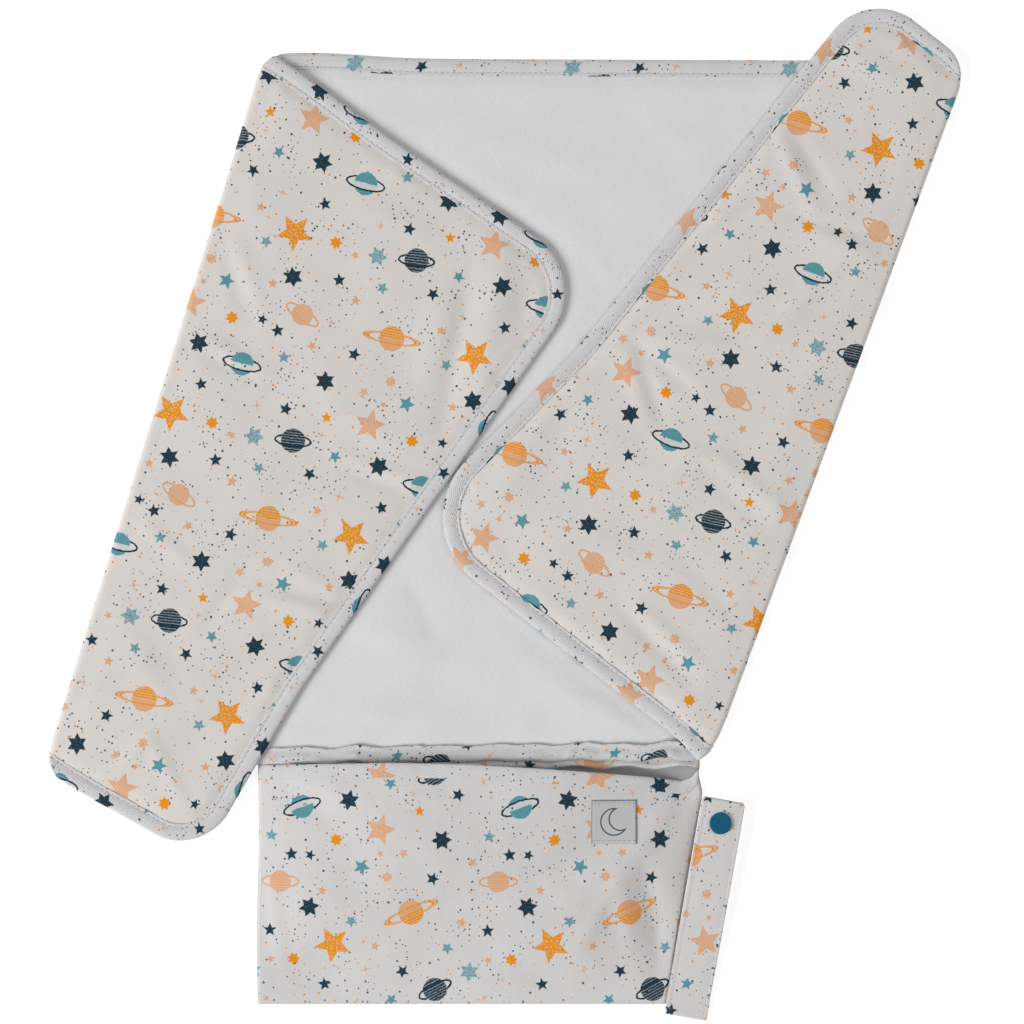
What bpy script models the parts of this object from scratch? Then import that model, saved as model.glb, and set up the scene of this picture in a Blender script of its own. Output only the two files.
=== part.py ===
"""Folding changing pad: a padded mat with its two wings folded in, a pouch and a snap strap.

The pad lies on a surface with its wings folded over the middle. +X is to the right, +Y is
towards the mat's top edge, +Z is up, and the origin is under the middle of the footprint.
Lengths are written in millimetres and become metres when a mesh is made.
"""
import bmesh
import bpy
from math import cos, hypot, pi, sin
from mathutils import Vector

MM = 0.001

# Plan of the mat. Each fold runs from its upper to its lower end.
LEFT_FOLD = ((-134.0, 257.0), (-258.5, -144.0))
RIGHT_FOLD = ((257.5, 255.5), (111.5, -139.0))

# Each wing's free corners from the fold's upper end round to its lower end: x, y, radius.
LEFT_WING = ((48.0, 134.0, 38.0), (-117.0, -100.0, 200.0), (-172.5, -194.5, 30.0))
RIGHT_WING = ((204.0, 297.5, 33.0), (40.0, 94.0, 150.0), (-59.0, -6.5, 45.0))

# Layers of the mat, bottom to top, as heights over the surface.
COVER = (0.0, 0.6)
PADDING = (0.9, 2.3)
LINING = (2.6, 3.4)
MAT_THICKNESS = 3.4
COVER_IN_RIM = (0.9, 1.5)
LINING_IN_RIM = (1.8, 2.5)
GAP = 0.3
STACK_HEIGHT = 2 * MAT_THICKNESS + GAP

# Fold-over binding round the mat's free edges.
BINDING_WIDTH = 9.0
BINDING_CLOTH = 0.6
RIM_SLOPE = 2.5
ARC_STEPS = 12
WIDE_RADIUS = 100.0
WIDE_ARC_STEPS = 3
LEAST_RADIUS = 0.5

# Pouch: corners in plan, from the upper left round to the lower left.
POUCH = ((-141.5, -143.0), (109.0, -143.0), (88.0, -278.0), (-139.5, -277.5))
POUCH_HINGE_Y = -142.0
POUCH_HINGE_HEIGHT = 10.9
POUCH_BACK = (0.0, 0.8)
FRONT_CLOTH = 0.6
SEAM_HEIGHT = 1.5
MOUTH_SEAM_HEIGHT = 2.2
MOUTH_SEAM_REACH = 18.0
MOUTH_BULGE = 10.0
MOUTH_BINDING_WIDTH = 8.0
MOUTH_BINDING_CLOTH = 0.4
POUCH_COLUMNS = 28
POUCH_ROWS = 16
POUCH_CORNER_RADIUS = 3.0
FRONT_SIDE_MARGIN = 0.003
FRONT_BOTTOM_DEPTH = 0.996
FRONT_PIVOT_X = -25.0
FRONT_PIVOT_HEIGHT = 1.1

# Woven label on the pouch's front.
LABEL_CENTRE = (60.0, -174.0)
LABEL_SIZE = (25.4, 24.8)
LABEL_CLOTH = 0.5
LABEL_STEPS = 8

# Strap: a doubled band, its closed end at the bottom and its open end at the top.
STRAP_CLOSED_END = (100.9, -283.0)
STRAP_OPEN_END = (122.2, -162.0)
STRAP_WIDTH = 24.0
STRAP_CLOTH = 1.0
STRAP_LEVEL_FROM = 0.78
STRAP_BACK_RISE = (0.0, 1.4)
STRAP_FRONT_RISE = (1.6, 6.5)
STRAP_STATIONS = 20
STRAP_SEWN_FROM_SIDE = 1.5
STRAP_SEWN_FROM_END = 2.0

# Press snap at the strap's open end, all heights over the surface.
SNAP_FROM_OPEN_END = 13.0
SNAP_CAP_RADIUS = 6.2
SNAP_CAP_HEIGHT = 1.2
SNAP_PIN_RADIUS = 1.2
SNAP_PIN_TAPER = 0.85
SNAP_FACE_INSET = 1.6
SNAP_SHOULDER = (0.5, 0.25)
SNAP_RIM_DROP = 0.7
SNAP_UNDERCUT = 0.2
SNAP_BORE_RADIUS = 1.6
SNAP_PART_RADIUS = 5.2
STUD = (2.7, 3.5)
STUD_BOSS_TOP = 5.2
STUD_BOSS_RADIUS = 2.5
SOCKET = (3.8, 6.2)
SOCKET_RECESS_TOP = 5.6
SOCKET_RECESS_RADIUS = 2.9
HOLE_CUTTER = (-2.0, 12.0)
ROUND_SEGMENTS = 40

# Colours, linear red, green and blue.
CLOTH_WHITE = (0.69, 0.66, 0.62)
LINING_WHITE = (0.68, 0.68, 0.69)
FILLING_WHITE = (0.80, 0.80, 0.78)
BINDING_GREY = (0.58, 0.60, 0.63)
LABEL_GREY = (0.62, 0.64, 0.66)
SNAP_BLUE = (0.006, 0.11, 0.20)


def clear_scene():
    """Removes whatever the scene starts with."""
    for item in list(bpy.data.objects):
        bpy.data.objects.remove(item, do_unlink=True)


def make_material(name, colour, roughness):
    """A plain Principled material."""
    material = bpy.data.materials.new(name)
    material.use_nodes = True
    shader = material.node_tree.nodes["Principled BSDF"]
    shader.inputs["Base Color"].default_value = (*colour, 1.0)
    shader.inputs["Roughness"].default_value = roughness
    shader.inputs["Metallic"].default_value = 0.0
    material.diffuse_color = (*colour, 1.0)
    return material


def make_object(name, shape, colour, roughness, pivot=None):
    """One object from a bmesh whose coordinates are millimetres. Its origin is the pivot."""
    pivot = Vector(pivot or (0.0, 0.0, 0.0))
    bmesh.ops.recalc_face_normals(shape, faces=shape.faces)
    for vertex in shape.verts:
        vertex.co = (vertex.co - pivot) * MM
    mesh = bpy.data.meshes.new(name)
    shape.to_mesh(mesh)
    shape.free()
    mesh.materials.append(make_material(name, colour, roughness))
    item = bpy.data.objects.new(name, mesh)
    item.location = pivot * MM
    bpy.context.scene.collection.objects.link(item)
    return item


# Outlines


def signed_area(corners):
    """Twice the polygon's area, above zero when its corners run anticlockwise."""
    pairs = zip(corners, corners[1:] + corners[:1])
    return sum(a[0] * b[1] - b[0] * a[1] for a, b in pairs)


def inset_line(start, end, inset, turn):
    """A point on the line from start to end, moved inwards, and the line's direction."""
    length = hypot(end[0] - start[0], end[1] - start[1])
    direction = ((end[0] - start[0]) / length, (end[1] - start[1]) / length)
    point = (start[0] - turn * direction[1] * inset, start[1] + turn * direction[0] * inset)
    return point, direction


def crossing(first, second):
    """Where two lines meet, each given as a point and a direction."""
    (px, py), (dx, dy) = first
    (qx, qy), (ex, ey) = second
    along = ((qx - px) * ey - (qy - py) * ex) / (dx * ey - dy * ex)
    return (px + dx * along, py + dy * along)


def corner_arc(corner, before, after, radius, steps):
    """Points of the arc that rounds a corner between two directions."""
    if radius <= 0.0:
        return [corner]
    cosine = -(before[0] * after[0] + before[1] * after[1])
    half = ((1.0 + cosine) / 2.0) ** 0.5
    tangent = radius * half / (1.0 - half * half) ** 0.5
    first = Vector((corner[0] - before[0] * tangent, corner[1] - before[1] * tangent))
    last = Vector((corner[0] + after[0] * tangent, corner[1] + after[1] * tangent))
    side = 1.0 if before[0] * after[1] - before[1] * after[0] > 0.0 else -1.0
    centre = first + Vector((-before[1], before[0])) * radius * side
    start = first - centre
    turn = start.angle_signed(last - centre)
    points = []
    for step in range(steps + 1):
        angle = -turn * step / steps
        points.append((
            centre.x + start.x * cos(angle) - start.y * sin(angle),
            centre.y + start.x * sin(angle) + start.y * cos(angle),
        ))
    return points


def rounded_outline(corners, insets):
    """The outline of rounded corners (x, y, radius), each edge moved inwards by its inset."""
    turn = 1.0 if signed_area(corners) > 0.0 else -1.0
    count = len(corners)
    lines = []
    for index, corner in enumerate(corners):
        lines.append(inset_line(corner, corners[(index + 1) % count], insets[index], turn))
    points = []
    for index, (_, _, radius) in enumerate(corners):
        before = lines[index - 1]
        after = lines[index]
        side = before[1][0] * after[1][1] - before[1][1] * after[1][0]
        inset = insets[index] if side * turn > 0.0 else -insets[index]
        steps = WIDE_ARC_STEPS if radius > WIDE_RADIUS else ARC_STEPS
        inner = max(radius - inset, LEAST_RADIUS) if radius else 0.0
        points += corner_arc(crossing(before, after), before[1], after[1], inner, steps)
    return points


def panel_outline(corners, free_edges, inset):
    """The outline with its free edges moved inwards by inset, and its folds by the gap."""
    insets = [inset if index in free_edges else GAP for index in range(len(corners))]
    return rounded_outline(corners, insets)


# Solids


def flat_sheet(points, low, high):
    """A closed flat sheet over a plan outline."""
    shape = bmesh.new()
    lower = [shape.verts.new((x, y, low)) for x, y in points]
    upper = [shape.verts.new((x, y, high)) for x, y in points]
    shape.faces.new(lower)
    shape.faces.new(upper)
    bridge(shape, lower, upper)
    return shape


def rimmed_sheet(rings, free_paths):
    """A closed sheet from rings of plan points, innermost first, each with its two heights.

    The rings step outwards only along the free paths, each a first and a last index. Between
    one free path and the next, where a fold runs, the sheet ends in one flat wall.
    """
    shape = bmesh.new()
    lower = []
    upper = []
    for points, low, high in rings:
        lower.append([shape.verts.new((x, y, low)) for x, y in points])
        upper.append([shape.verts.new((x, y, high)) for x, y in points])
    shape.faces.new(lower[0])
    shape.faces.new(upper[0])
    for first, last in free_paths:
        for side in (lower, upper):
            for inner, outer in zip(side, side[1:]):
                bridge_run(shape, inner[first:last + 1], outer[first:last + 1])
        bridge_run(shape, lower[-1][first:last + 1], upper[-1][first:last + 1])
    for (_, end), (start, _) in zip(free_paths, free_paths[1:] + free_paths[:1]):
        wall = [ring[end] for ring in reversed(lower)]
        wall += [ring[start] for ring in lower]
        wall += [ring[start] for ring in reversed(upper)]
        wall += [ring[end] for ring in upper]
        shape.faces.new(wall)
    return shape


def bridge_run(shape, first, second):
    """A band of quads between two open rows of the same length."""
    for index in range(len(first) - 1):
        shape.faces.new((first[index], first[index + 1], second[index + 1], second[index]))


def bridge(shape, first, second):
    """A band of quads between two closed loops of the same length."""
    count = len(first)
    for index in range(count):
        after = (index + 1) % count
        shape.faces.new((first[index], first[after], second[after], second[index]))


def swept_solid(sections):
    """A closed solid through a row of cross-sections, each a loop of 3-D points."""
    shape = bmesh.new()
    loops = [[shape.verts.new(point) for point in section] for section in sections]
    for first, second in zip(loops, loops[1:]):
        bridge(shape, first, second)
    shape.faces.new(loops[0])
    shape.faces.new(loops[-1])
    return shape


def turned_solid(profile, centre):
    """The rings of a solid of revolution, one for each (radius, height) point."""
    shape = bmesh.new()
    loops = []
    for radius, height in profile:
        loop = []
        for step in range(ROUND_SEGMENTS):
            angle = 2.0 * pi * step / ROUND_SEGMENTS
            x = centre[0] + radius * cos(angle)
            y = centre[1] + radius * sin(angle)
            loop.append(shape.verts.new((x, y, height)))
        loops.append(loop)
    return shape, loops


def turned_plug(profile, centre):
    """A turned solid closed by a flat face at each end of its profile."""
    shape, loops = turned_solid(profile, centre)
    for first, second in zip(loops, loops[1:]):
        bridge(shape, first, second)
    shape.faces.new(loops[0])
    shape.faces.new(loops[-1])
    return shape


def turned_ring(profile, centre):
    """A turned solid whose profile closes on itself round a bore."""
    shape, loops = turned_solid(profile, centre)
    for first, second in zip(loops, loops[1:] + loops[:1]):
        bridge(shape, first, second)
    return shape


# Mat and wings


def flipped(levels):
    """The heights of a layer after its wing has turned over onto the mat."""
    return (STACK_HEIGHT - levels[1], STACK_HEIGHT - levels[0])


def as_laid(levels):
    """The heights of a layer of the mat itself."""
    return levels


def add_layers(prefix, cover_name, corners, free_edges, free_paths, placed, pivot):
    """The cover, padding and lining of one panel."""
    rim_inner = BINDING_WIDTH + GAP
    flat_inset = rim_inner + RIM_SLOPE
    for name, flat, in_rim, colour in (
        (cover_name, COVER, COVER_IN_RIM, CLOTH_WHITE),
        (prefix + "_lining", LINING, LINING_IN_RIM, LINING_WHITE),
    ):
        rings = []
        for inset, levels in (
            (flat_inset, flat),
            (rim_inner, in_rim),
            (BINDING_CLOTH + GAP, in_rim),
        ):
            rings.append((panel_outline(corners, free_edges, inset), *placed(levels)))
        make_object(name, rimmed_sheet(rings, free_paths), colour, 0.85, pivot)
    wadding = flat_sheet(
        panel_outline(corners, free_edges, flat_inset + GAP), *placed(PADDING)
    )
    make_object(prefix + "_padding", wadding, FILLING_WHITE, 0.95, pivot)


def binding_profile(low, high, cloth, width):
    """Points (inset, height) round the section of a strip folded over an edge."""
    return (
        (width, low),
        (cloth, low),
        (0.0, low + cloth),
        (0.0, high - cloth),
        (cloth, high),
        (width, high),
        (width, high - cloth),
        (cloth, high - cloth),
        (cloth, low + cloth),
        (width, low + cloth),
    )


def add_binding(name, corners, free_edges, free_path, placed, pivot):
    """The binding along the outline's points of one free path."""
    first, last = free_path
    low, high = placed((0.0, MAT_THICKNESS))
    rows = []
    for inset, height in binding_profile(low, high, BINDING_CLOTH, BINDING_WIDTH):
        points = panel_outline(corners, free_edges, inset)[first:last + 1]
        rows.append([(x, y, height) for x, y in points])
    sections = [list(section) for section in zip(*rows)]
    make_object(name, swept_solid(sections), BINDING_GREY, 0.9, pivot)


def add_mat():
    """The middle panel, which lies between the two folds."""
    corners = [
        (*LEFT_FOLD[0], 0.0),
        (*RIGHT_FOLD[0], 0.0),
        (*RIGHT_FOLD[1], 0.0),
        (*LEFT_FOLD[1], 0.0),
    ]
    free_edges = (0, 2)
    top = (0, 1)
    bottom = (2, 3)
    add_layers("mat", "mat_back_cover", corners, free_edges, [top, bottom], as_laid, None)
    add_binding("mat_top_binding", corners, free_edges, top, as_laid, None)
    add_binding("mat_bottom_binding", corners, free_edges, bottom, as_laid, None)


def fold_pivot(fold):
    """The middle of a fold, at the height where the wing turns."""
    return (
        (fold[0][0] + fold[1][0]) / 2.0,
        (fold[0][1] + fold[1][1]) / 2.0,
        STACK_HEIGHT / 2.0,
    )


def add_wing(prefix, fold, free_corners):
    """A wing lying face down on the mat, its origin on the fold's axis."""
    corners = [(*fold[0], 0.0), *free_corners, (*fold[1], 0.0)]
    free_edges = range(len(corners) - 1)
    pivot = fold_pivot(fold)
    all_round = (0, len(panel_outline(corners, free_edges, 0.0)) - 1)
    add_layers(
        prefix, prefix + "_cover", corners, free_edges, [all_round], flipped, pivot
    )
    add_binding(prefix + "_binding", corners, free_edges, all_round, flipped, pivot)


# Pouch


def pouch_sides(depth):
    """The pouch's left and right edges at a depth, 0 at the mouth and 1 at the bottom."""
    top_left, top_right, bottom_right, bottom_left = POUCH
    left = top_left[0] + (bottom_left[0] - top_left[0]) * depth
    right = top_right[0] + (bottom_right[0] - top_right[0]) * depth
    return left, right


def pouch_y(depth):
    """The pouch's y at a depth."""
    return POUCH[0][1] + (POUCH[2][1] - POUCH[0][1]) * depth


def front_height(x, y):
    """The middle height of the front's cloth, which bulges most at the mouth's middle."""
    depth = min(max((POUCH[0][1] - y) / (POUCH[0][1] - POUCH[2][1]), 0.0), 1.0)
    left, right = pouch_sides(depth)
    across = min(max(2.0 * (x - left) / (right - left) - 1.0, -1.0), 1.0)
    from_mouth = POUCH[0][1] - y
    seam_lift = max(0.0, 1.0 - from_mouth / MOUTH_SEAM_REACH)
    seam = SEAM_HEIGHT + (MOUTH_SEAM_HEIGHT - SEAM_HEIGHT) * seam_lift
    return seam + MOUTH_BULGE * (1.0 - abs(across) ** 3) * (1.0 - depth ** 3)


def front_point(column, depth, offset):
    """A point of the front, column 0 at its left edge and 1 at its right, raised by offset."""
    left, right = pouch_sides(depth)
    x = left + (right - left) * column
    y = pouch_y(depth)
    return (x, y, front_height(x, y) + offset)


def front_column(step):
    """The share of the way across the front at a column of its mesh."""
    return FRONT_SIDE_MARGIN + (1.0 - 2.0 * FRONT_SIDE_MARGIN) * step / POUCH_COLUMNS


def pouch_pivot():
    """The middle of the pouch's hinge line along the mat's bottom edge."""
    return (0.0, POUCH_HINGE_Y, POUCH_HINGE_HEIGHT)


def add_pouch_back():
    """The flat back, which carries on from the mat's bottom edge."""
    corners = [(x, y, POUCH_CORNER_RADIUS) for x, y in POUCH]
    outline = rounded_outline(corners, [GAP] * 4)
    shape = flat_sheet(outline, *POUCH_BACK)
    make_object("pouch_back_panel", shape, CLOTH_WHITE, 0.85, pouch_pivot())


def front_pivot():
    """The middle of the bottom seam, about which the front opens."""
    return (FRONT_PIVOT_X, POUCH[2][1], FRONT_PIVOT_HEIGHT)


def add_pouch_front():
    """The bulging front, open at the mouth and seamed to the back on three sides."""
    first_depth = (MOUTH_BINDING_CLOTH + GAP) / (POUCH[0][1] - POUCH[2][1])
    sections = []
    for row in range(POUCH_ROWS + 1):
        depth = first_depth + (FRONT_BOTTOM_DEPTH - first_depth) * row / POUCH_ROWS
        upper = []
        lower = []
        for step in range(POUCH_COLUMNS + 1):
            column = front_column(step)
            upper.append(front_point(column, depth, FRONT_CLOTH / 2.0))
            lower.append(front_point(column, depth, -FRONT_CLOTH / 2.0))
        sections.append(upper + lower[::-1])
    make_object("pouch_front_panel", strip_solid(sections), CLOTH_WHITE, 0.85, front_pivot())


def strip_solid(sections):
    """A solid through flat sections of paired upper and lower points, its ends in quads."""
    shape = bmesh.new()
    loops = [[shape.verts.new(point) for point in section] for section in sections]
    for first, second in zip(loops, loops[1:]):
        bridge(shape, first, second)
    for loop in (loops[0], loops[-1]):
        last = len(loop) - 1
        for index in range(len(loop) // 2 - 1):
            quad = (loop[index], loop[index + 1], loop[last - index - 1], loop[last - index])
            shape.faces.new(quad)
    return shape


def add_mouth_binding():
    """The strip folded over the front's mouth edge."""
    outside = FRONT_CLOTH / 2.0 + GAP + MOUTH_BINDING_CLOTH
    profile = binding_profile(-outside, outside, MOUTH_BINDING_CLOTH, MOUTH_BINDING_WIDTH)
    height = POUCH[0][1] - POUCH[2][1]
    sections = []
    for step in range(POUCH_COLUMNS + 1):
        column = front_column(step)
        sections.append([front_point(column, back / height, up) for back, up in profile])
    make_object("pouch_mouth_binding", swept_solid(sections), BINDING_GREY, 0.9, front_pivot())


def add_label():
    """The square woven label, which follows the front's bulge."""
    low = FRONT_CLOTH / 2.0 + GAP
    sections = []
    for row in range(LABEL_STEPS + 1):
        y = LABEL_CENTRE[1] + LABEL_SIZE[1] * (0.5 - row / LABEL_STEPS)
        points = []
        for step in range(LABEL_STEPS + 1):
            x = LABEL_CENTRE[0] + LABEL_SIZE[0] * (step / LABEL_STEPS - 0.5)
            points.append((x, y, front_height(x, y)))
        upper = [(x, y, z + low + LABEL_CLOTH) for x, y, z in points]
        lower = [(x, y, z + low) for x, y, z in points]
        sections.append(upper + lower[::-1])
    make_object("woven_label", strip_solid(sections), LABEL_GREY, 0.8, front_pivot())


# Strap and snap


def strap_frame():
    """The strap's direction from its closed end to its open end, its side and its length."""
    closed = Vector(STRAP_CLOSED_END)
    along = Vector(STRAP_OPEN_END) - closed
    length = along.length
    along.normalize()
    return closed, along, Vector((along.y, -along.x)), length


def strap_rise(rise, share):
    """The height of a half's underside at a share of its length, level from the snap on."""
    climb = min(share / STRAP_LEVEL_FROM, 1.0)
    climb = climb * climb * (3.0 - 2.0 * climb)
    return rise[0] + (rise[1] - rise[0]) * climb


def add_strap_half(name, rise, pivot):
    """One half of the doubled band, with a hole for its snap's pin."""
    closed, along, side, length = strap_frame()
    sections = []
    for step in range(STRAP_STATIONS + 1):
        distance = GAP + (length - GAP) * step / STRAP_STATIONS
        low = strap_rise(rise, distance / length)
        middle = closed + along * distance
        left = middle - side * STRAP_WIDTH / 2.0
        right = middle + side * STRAP_WIDTH / 2.0
        sections.append([
            (left.x, left.y, low),
            (right.x, right.y, low),
            (right.x, right.y, low + STRAP_CLOTH),
            (left.x, left.y, low + STRAP_CLOTH),
        ])
    band = make_object(name, swept_solid(sections), CLOTH_WHITE, 0.85, pivot)
    cutter = make_object(
        name + "_hole",
        turned_plug([(SNAP_BORE_RADIUS, height) for height in HOLE_CUTTER], snap_centre()),
        CLOTH_WHITE,
        0.85,
    )
    cutter.hide_render = True
    cutter.display_type = "WIRE"
    hole = band.modifiers.new("snap hole", "BOOLEAN")
    hole.operation = "DIFFERENCE"
    hole.solver = "EXACT"
    hole.object = cutter


def snap_centre():
    """The snap's axis in plan."""
    _, along, _, _ = strap_frame()
    centre = Vector(STRAP_OPEN_END) - along * SNAP_FROM_OPEN_END
    return (centre.x, centre.y)


def strap_pivot():
    """Where the strap's back half is sewn into the pouch's side seam."""
    _, along, side, _ = strap_frame()
    corner = Vector(STRAP_OPEN_END) - along * STRAP_SEWN_FROM_END
    corner -= side * (STRAP_WIDTH / 2.0 - STRAP_SEWN_FROM_SIDE)
    return (corner.x, corner.y, STRAP_BACK_RISE[1])


def strap_fold_pivot():
    """The strap's closed end, between its two halves."""
    height = (STRAP_BACK_RISE[0] + STRAP_CLOTH + STRAP_FRONT_RISE[0]) / 2.0
    return (*STRAP_CLOSED_END, height)


def add_strap():
    """Both halves of the strap."""
    add_strap_half("strap_back_half", STRAP_BACK_RISE, strap_pivot())
    add_strap_half("strap_front_half", STRAP_FRONT_RISE, strap_fold_pivot())


def cap_profile(face, inner, pin_end):
    """A snap cap from its rounded face over its rim to the end of its pin."""
    towards = 1.0 if inner > face else -1.0
    return (
        (SNAP_CAP_RADIUS - SNAP_FACE_INSET, face),
        (SNAP_CAP_RADIUS - SNAP_SHOULDER[0], face + towards * SNAP_SHOULDER[1]),
        (SNAP_CAP_RADIUS, face + towards * SNAP_RIM_DROP),
        (SNAP_CAP_RADIUS - SNAP_UNDERCUT, inner),
        (SNAP_PIN_RADIUS, inner),
        (SNAP_PIN_RADIUS * SNAP_PIN_TAPER, pin_end),
    )


def add_snap():
    """The front cap and socket, and the back cap and stud that the socket presses onto."""
    centre = snap_centre()
    front_top = STRAP_FRONT_RISE[1] + STRAP_CLOTH + GAP
    front_cap = cap_profile(front_top + SNAP_CAP_HEIGHT, front_top, SOCKET_RECESS_TOP + GAP)
    make_object("snap_cap", turned_plug(front_cap, centre), SNAP_BLUE, 0.35, strap_fold_pivot())
    back_cap = cap_profile(0.0, STRAP_BACK_RISE[1] - GAP, STUD_BOSS_TOP - GAP)
    make_object("snap_back_cap", turned_plug(back_cap, centre), SNAP_BLUE, 0.35, strap_pivot())
    socket = (
        (SNAP_BORE_RADIUS, SOCKET[1]),
        (SNAP_PART_RADIUS, SOCKET[1]),
        (SNAP_PART_RADIUS, SOCKET[0]),
        (SOCKET_RECESS_RADIUS, SOCKET[0]),
        (SOCKET_RECESS_RADIUS, SOCKET_RECESS_TOP),
        (SNAP_BORE_RADIUS, SOCKET_RECESS_TOP),
    )
    make_object("snap_socket", turned_ring(socket, centre), SNAP_BLUE, 0.35, strap_fold_pivot())
    stud = (
        (SNAP_BORE_RADIUS, STUD_BOSS_TOP),
        (STUD_BOSS_RADIUS, STUD_BOSS_TOP),
        (STUD_BOSS_RADIUS, STUD[1]),
        (SNAP_PART_RADIUS, STUD[1]),
        (SNAP_PART_RADIUS, STUD[0]),
        (SNAP_BORE_RADIUS, STUD[0]),
    )
    make_object("snap_stud", turned_ring(stud, centre), SNAP_BLUE, 0.35, strap_pivot())


def main():
    clear_scene()
    add_mat()
    add_wing("left_wing", LEFT_FOLD, LEFT_WING)
    add_wing("right_wing", RIGHT_FOLD, RIGHT_WING)
    add_pouch_back()
    add_pouch_front()
    add_mouth_binding()
    add_label()
    add_strap()
    add_snap()


main()
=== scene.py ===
"""Looks of the folding changing pad: printed cover, lining, bindings, pouch, strap and snap.

Lengths are in millimetres until a mesh is made. The mat's cloth is laid out flat first, then
turned round its folds, so the print and the cloth carry on from the back over each wing.
"""

from math import cos, hypot, pi, radians, sin

import bmesh
import bpy
import numpy as np
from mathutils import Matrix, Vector, noise
from mathutils.geometry import delaunay_2d_cdt


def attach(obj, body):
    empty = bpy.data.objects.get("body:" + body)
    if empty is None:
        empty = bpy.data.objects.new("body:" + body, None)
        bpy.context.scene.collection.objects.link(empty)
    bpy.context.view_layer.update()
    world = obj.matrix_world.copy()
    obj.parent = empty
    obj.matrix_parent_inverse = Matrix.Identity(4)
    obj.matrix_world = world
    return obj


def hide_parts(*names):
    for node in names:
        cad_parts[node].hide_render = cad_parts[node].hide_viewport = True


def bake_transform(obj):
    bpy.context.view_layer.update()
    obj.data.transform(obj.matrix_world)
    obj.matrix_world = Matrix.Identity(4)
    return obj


MM = 0.001

# Plan of the mat, from each fold's upper to its lower end, and the wings' free corners.
LEFT_FOLD = ((-134.0, 257.0), (-258.5, -144.0))
RIGHT_FOLD = ((257.5, 255.5), (111.5, -139.0))
LEFT_WING = ((48.0, 134.0, 38.0), (-117.0, -100.0, 200.0), (-172.5, -194.5, 30.0))
RIGHT_WING = ((204.0, 297.5, 33.0), (40.0, 94.0, 150.0), (-59.0, -6.5, 45.0))
HINGE_HEIGHT = 3.55
TOP_OF_STACK = 7.1
MAT_THICKNESS = 3.4

# Layers of the mat: middle height in the flat and inside the binding, and cloth thickness.
COVER = (0.32, 1.02, 0.5)
LINING = (3.0, 2.2, 0.6)
RIM_FROM = 9.0
RIM_TO = 14.0
CLOTH_INSET = 1.3
SHARP_ANGLE = radians(50.0)
BINDING_WIDTH = 9.0
COVER_TURN = pi * (HINGE_HEIGHT - COVER[0])

# Binding and stitches. A stitch is its pitch, its length and its thread's thickness.
SEAM_INSET = 7.7
SEAM_DEPTH = 0.48
EDGE_STITCH = (3.3, 2.4, 0.42)
LABEL_STITCH = (2.6, 1.8, 0.42)
STRAP_STITCH = (2.5, 1.8, 0.32)

# Pouch.
POUCH = ((-141.5, -143.0), (109.0, -143.0), (88.0, -278.0), (-139.5, -277.5))
POUCH_DEPTH = 135.0
SEAM_HEIGHT = 1.5
MOUTH_SEAM_HEIGHT = 2.2
MOUTH_SEAM_REACH = 18.0
MOUTH_BULGE = 10.0
LABEL_CENTRE = (60.0, -174.0)
LABEL_SIZE = (25.4, 24.8)

# Strap and snap.
STRAP_CLOSED_END = (100.9, -283.0)
STRAP_OPEN_END = (122.2, -162.0)
STRAP_WIDTH = 24.0
STRAP_CLOTH = 1.0
STRAP_LEVEL_FROM = 0.78
SNAP_FROM_OPEN_END = 13.0
STRAP_SEAM = 9.6
STRAP_END_SEAM = 2.4

# Print.
TILE = 123.0
CELLS = 4
CELL = TILE / CELLS
PRINT_ORIGIN = np.array((44.3, 45.1))

# Colours, linear red, green and blue.
WARM_WHITE = (0.72, 0.685, 0.655)
COOL_WHITE = (0.675, 0.660, 0.655)
BINDING_WHITE = (0.685, 0.675, 0.685)
LINING_WHITE = (0.725, 0.725, 0.735)
# Dark grey of the pouch's inside: plain reverse cloth, painted darker as the shade inside the
# pouch.
REVERSE_SHADE_GREY = (0.36, 0.36, 0.37)
NAVY = (0.0085, 0.036, 0.058)
TEAL = (0.095, 0.30, 0.355)
ORANGE = (0.81, 0.29, 0.005)
PEACH = (0.74, 0.39, 0.205)
SNAP_BLUE = (0.003, 0.105, 0.19)

# How much light bare cloth throws back.
CLOTH_GLOSS = 0.15

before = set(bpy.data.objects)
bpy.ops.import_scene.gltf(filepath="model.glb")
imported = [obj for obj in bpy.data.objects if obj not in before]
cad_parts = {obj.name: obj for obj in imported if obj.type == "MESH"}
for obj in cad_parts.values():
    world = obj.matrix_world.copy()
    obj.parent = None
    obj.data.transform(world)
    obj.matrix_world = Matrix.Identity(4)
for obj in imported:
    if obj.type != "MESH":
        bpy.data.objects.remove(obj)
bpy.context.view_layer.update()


# Materials


class Value:
    """A number that varies over a surface. Arithmetic on it adds Math nodes."""

    def __init__(self, finish, socket):
        self.finish = finish
        self.socket = socket

    def __add__(self, other):
        return self.finish.math("ADD", self, other)

    __radd__ = __add__

    def __mul__(self, other):
        return self.finish.math("MULTIPLY", self, other)

    __rmul__ = __mul__

    def __sub__(self, other):
        return self.finish.math("SUBTRACT", self, other)

    def __rsub__(self, other):
        return self.finish.math("SUBTRACT", other, self)

    def __truediv__(self, other):
        return self.finish.math("DIVIDE", self, other)

    def __rtruediv__(self, other):
        return self.finish.math("DIVIDE", other, self)


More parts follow.
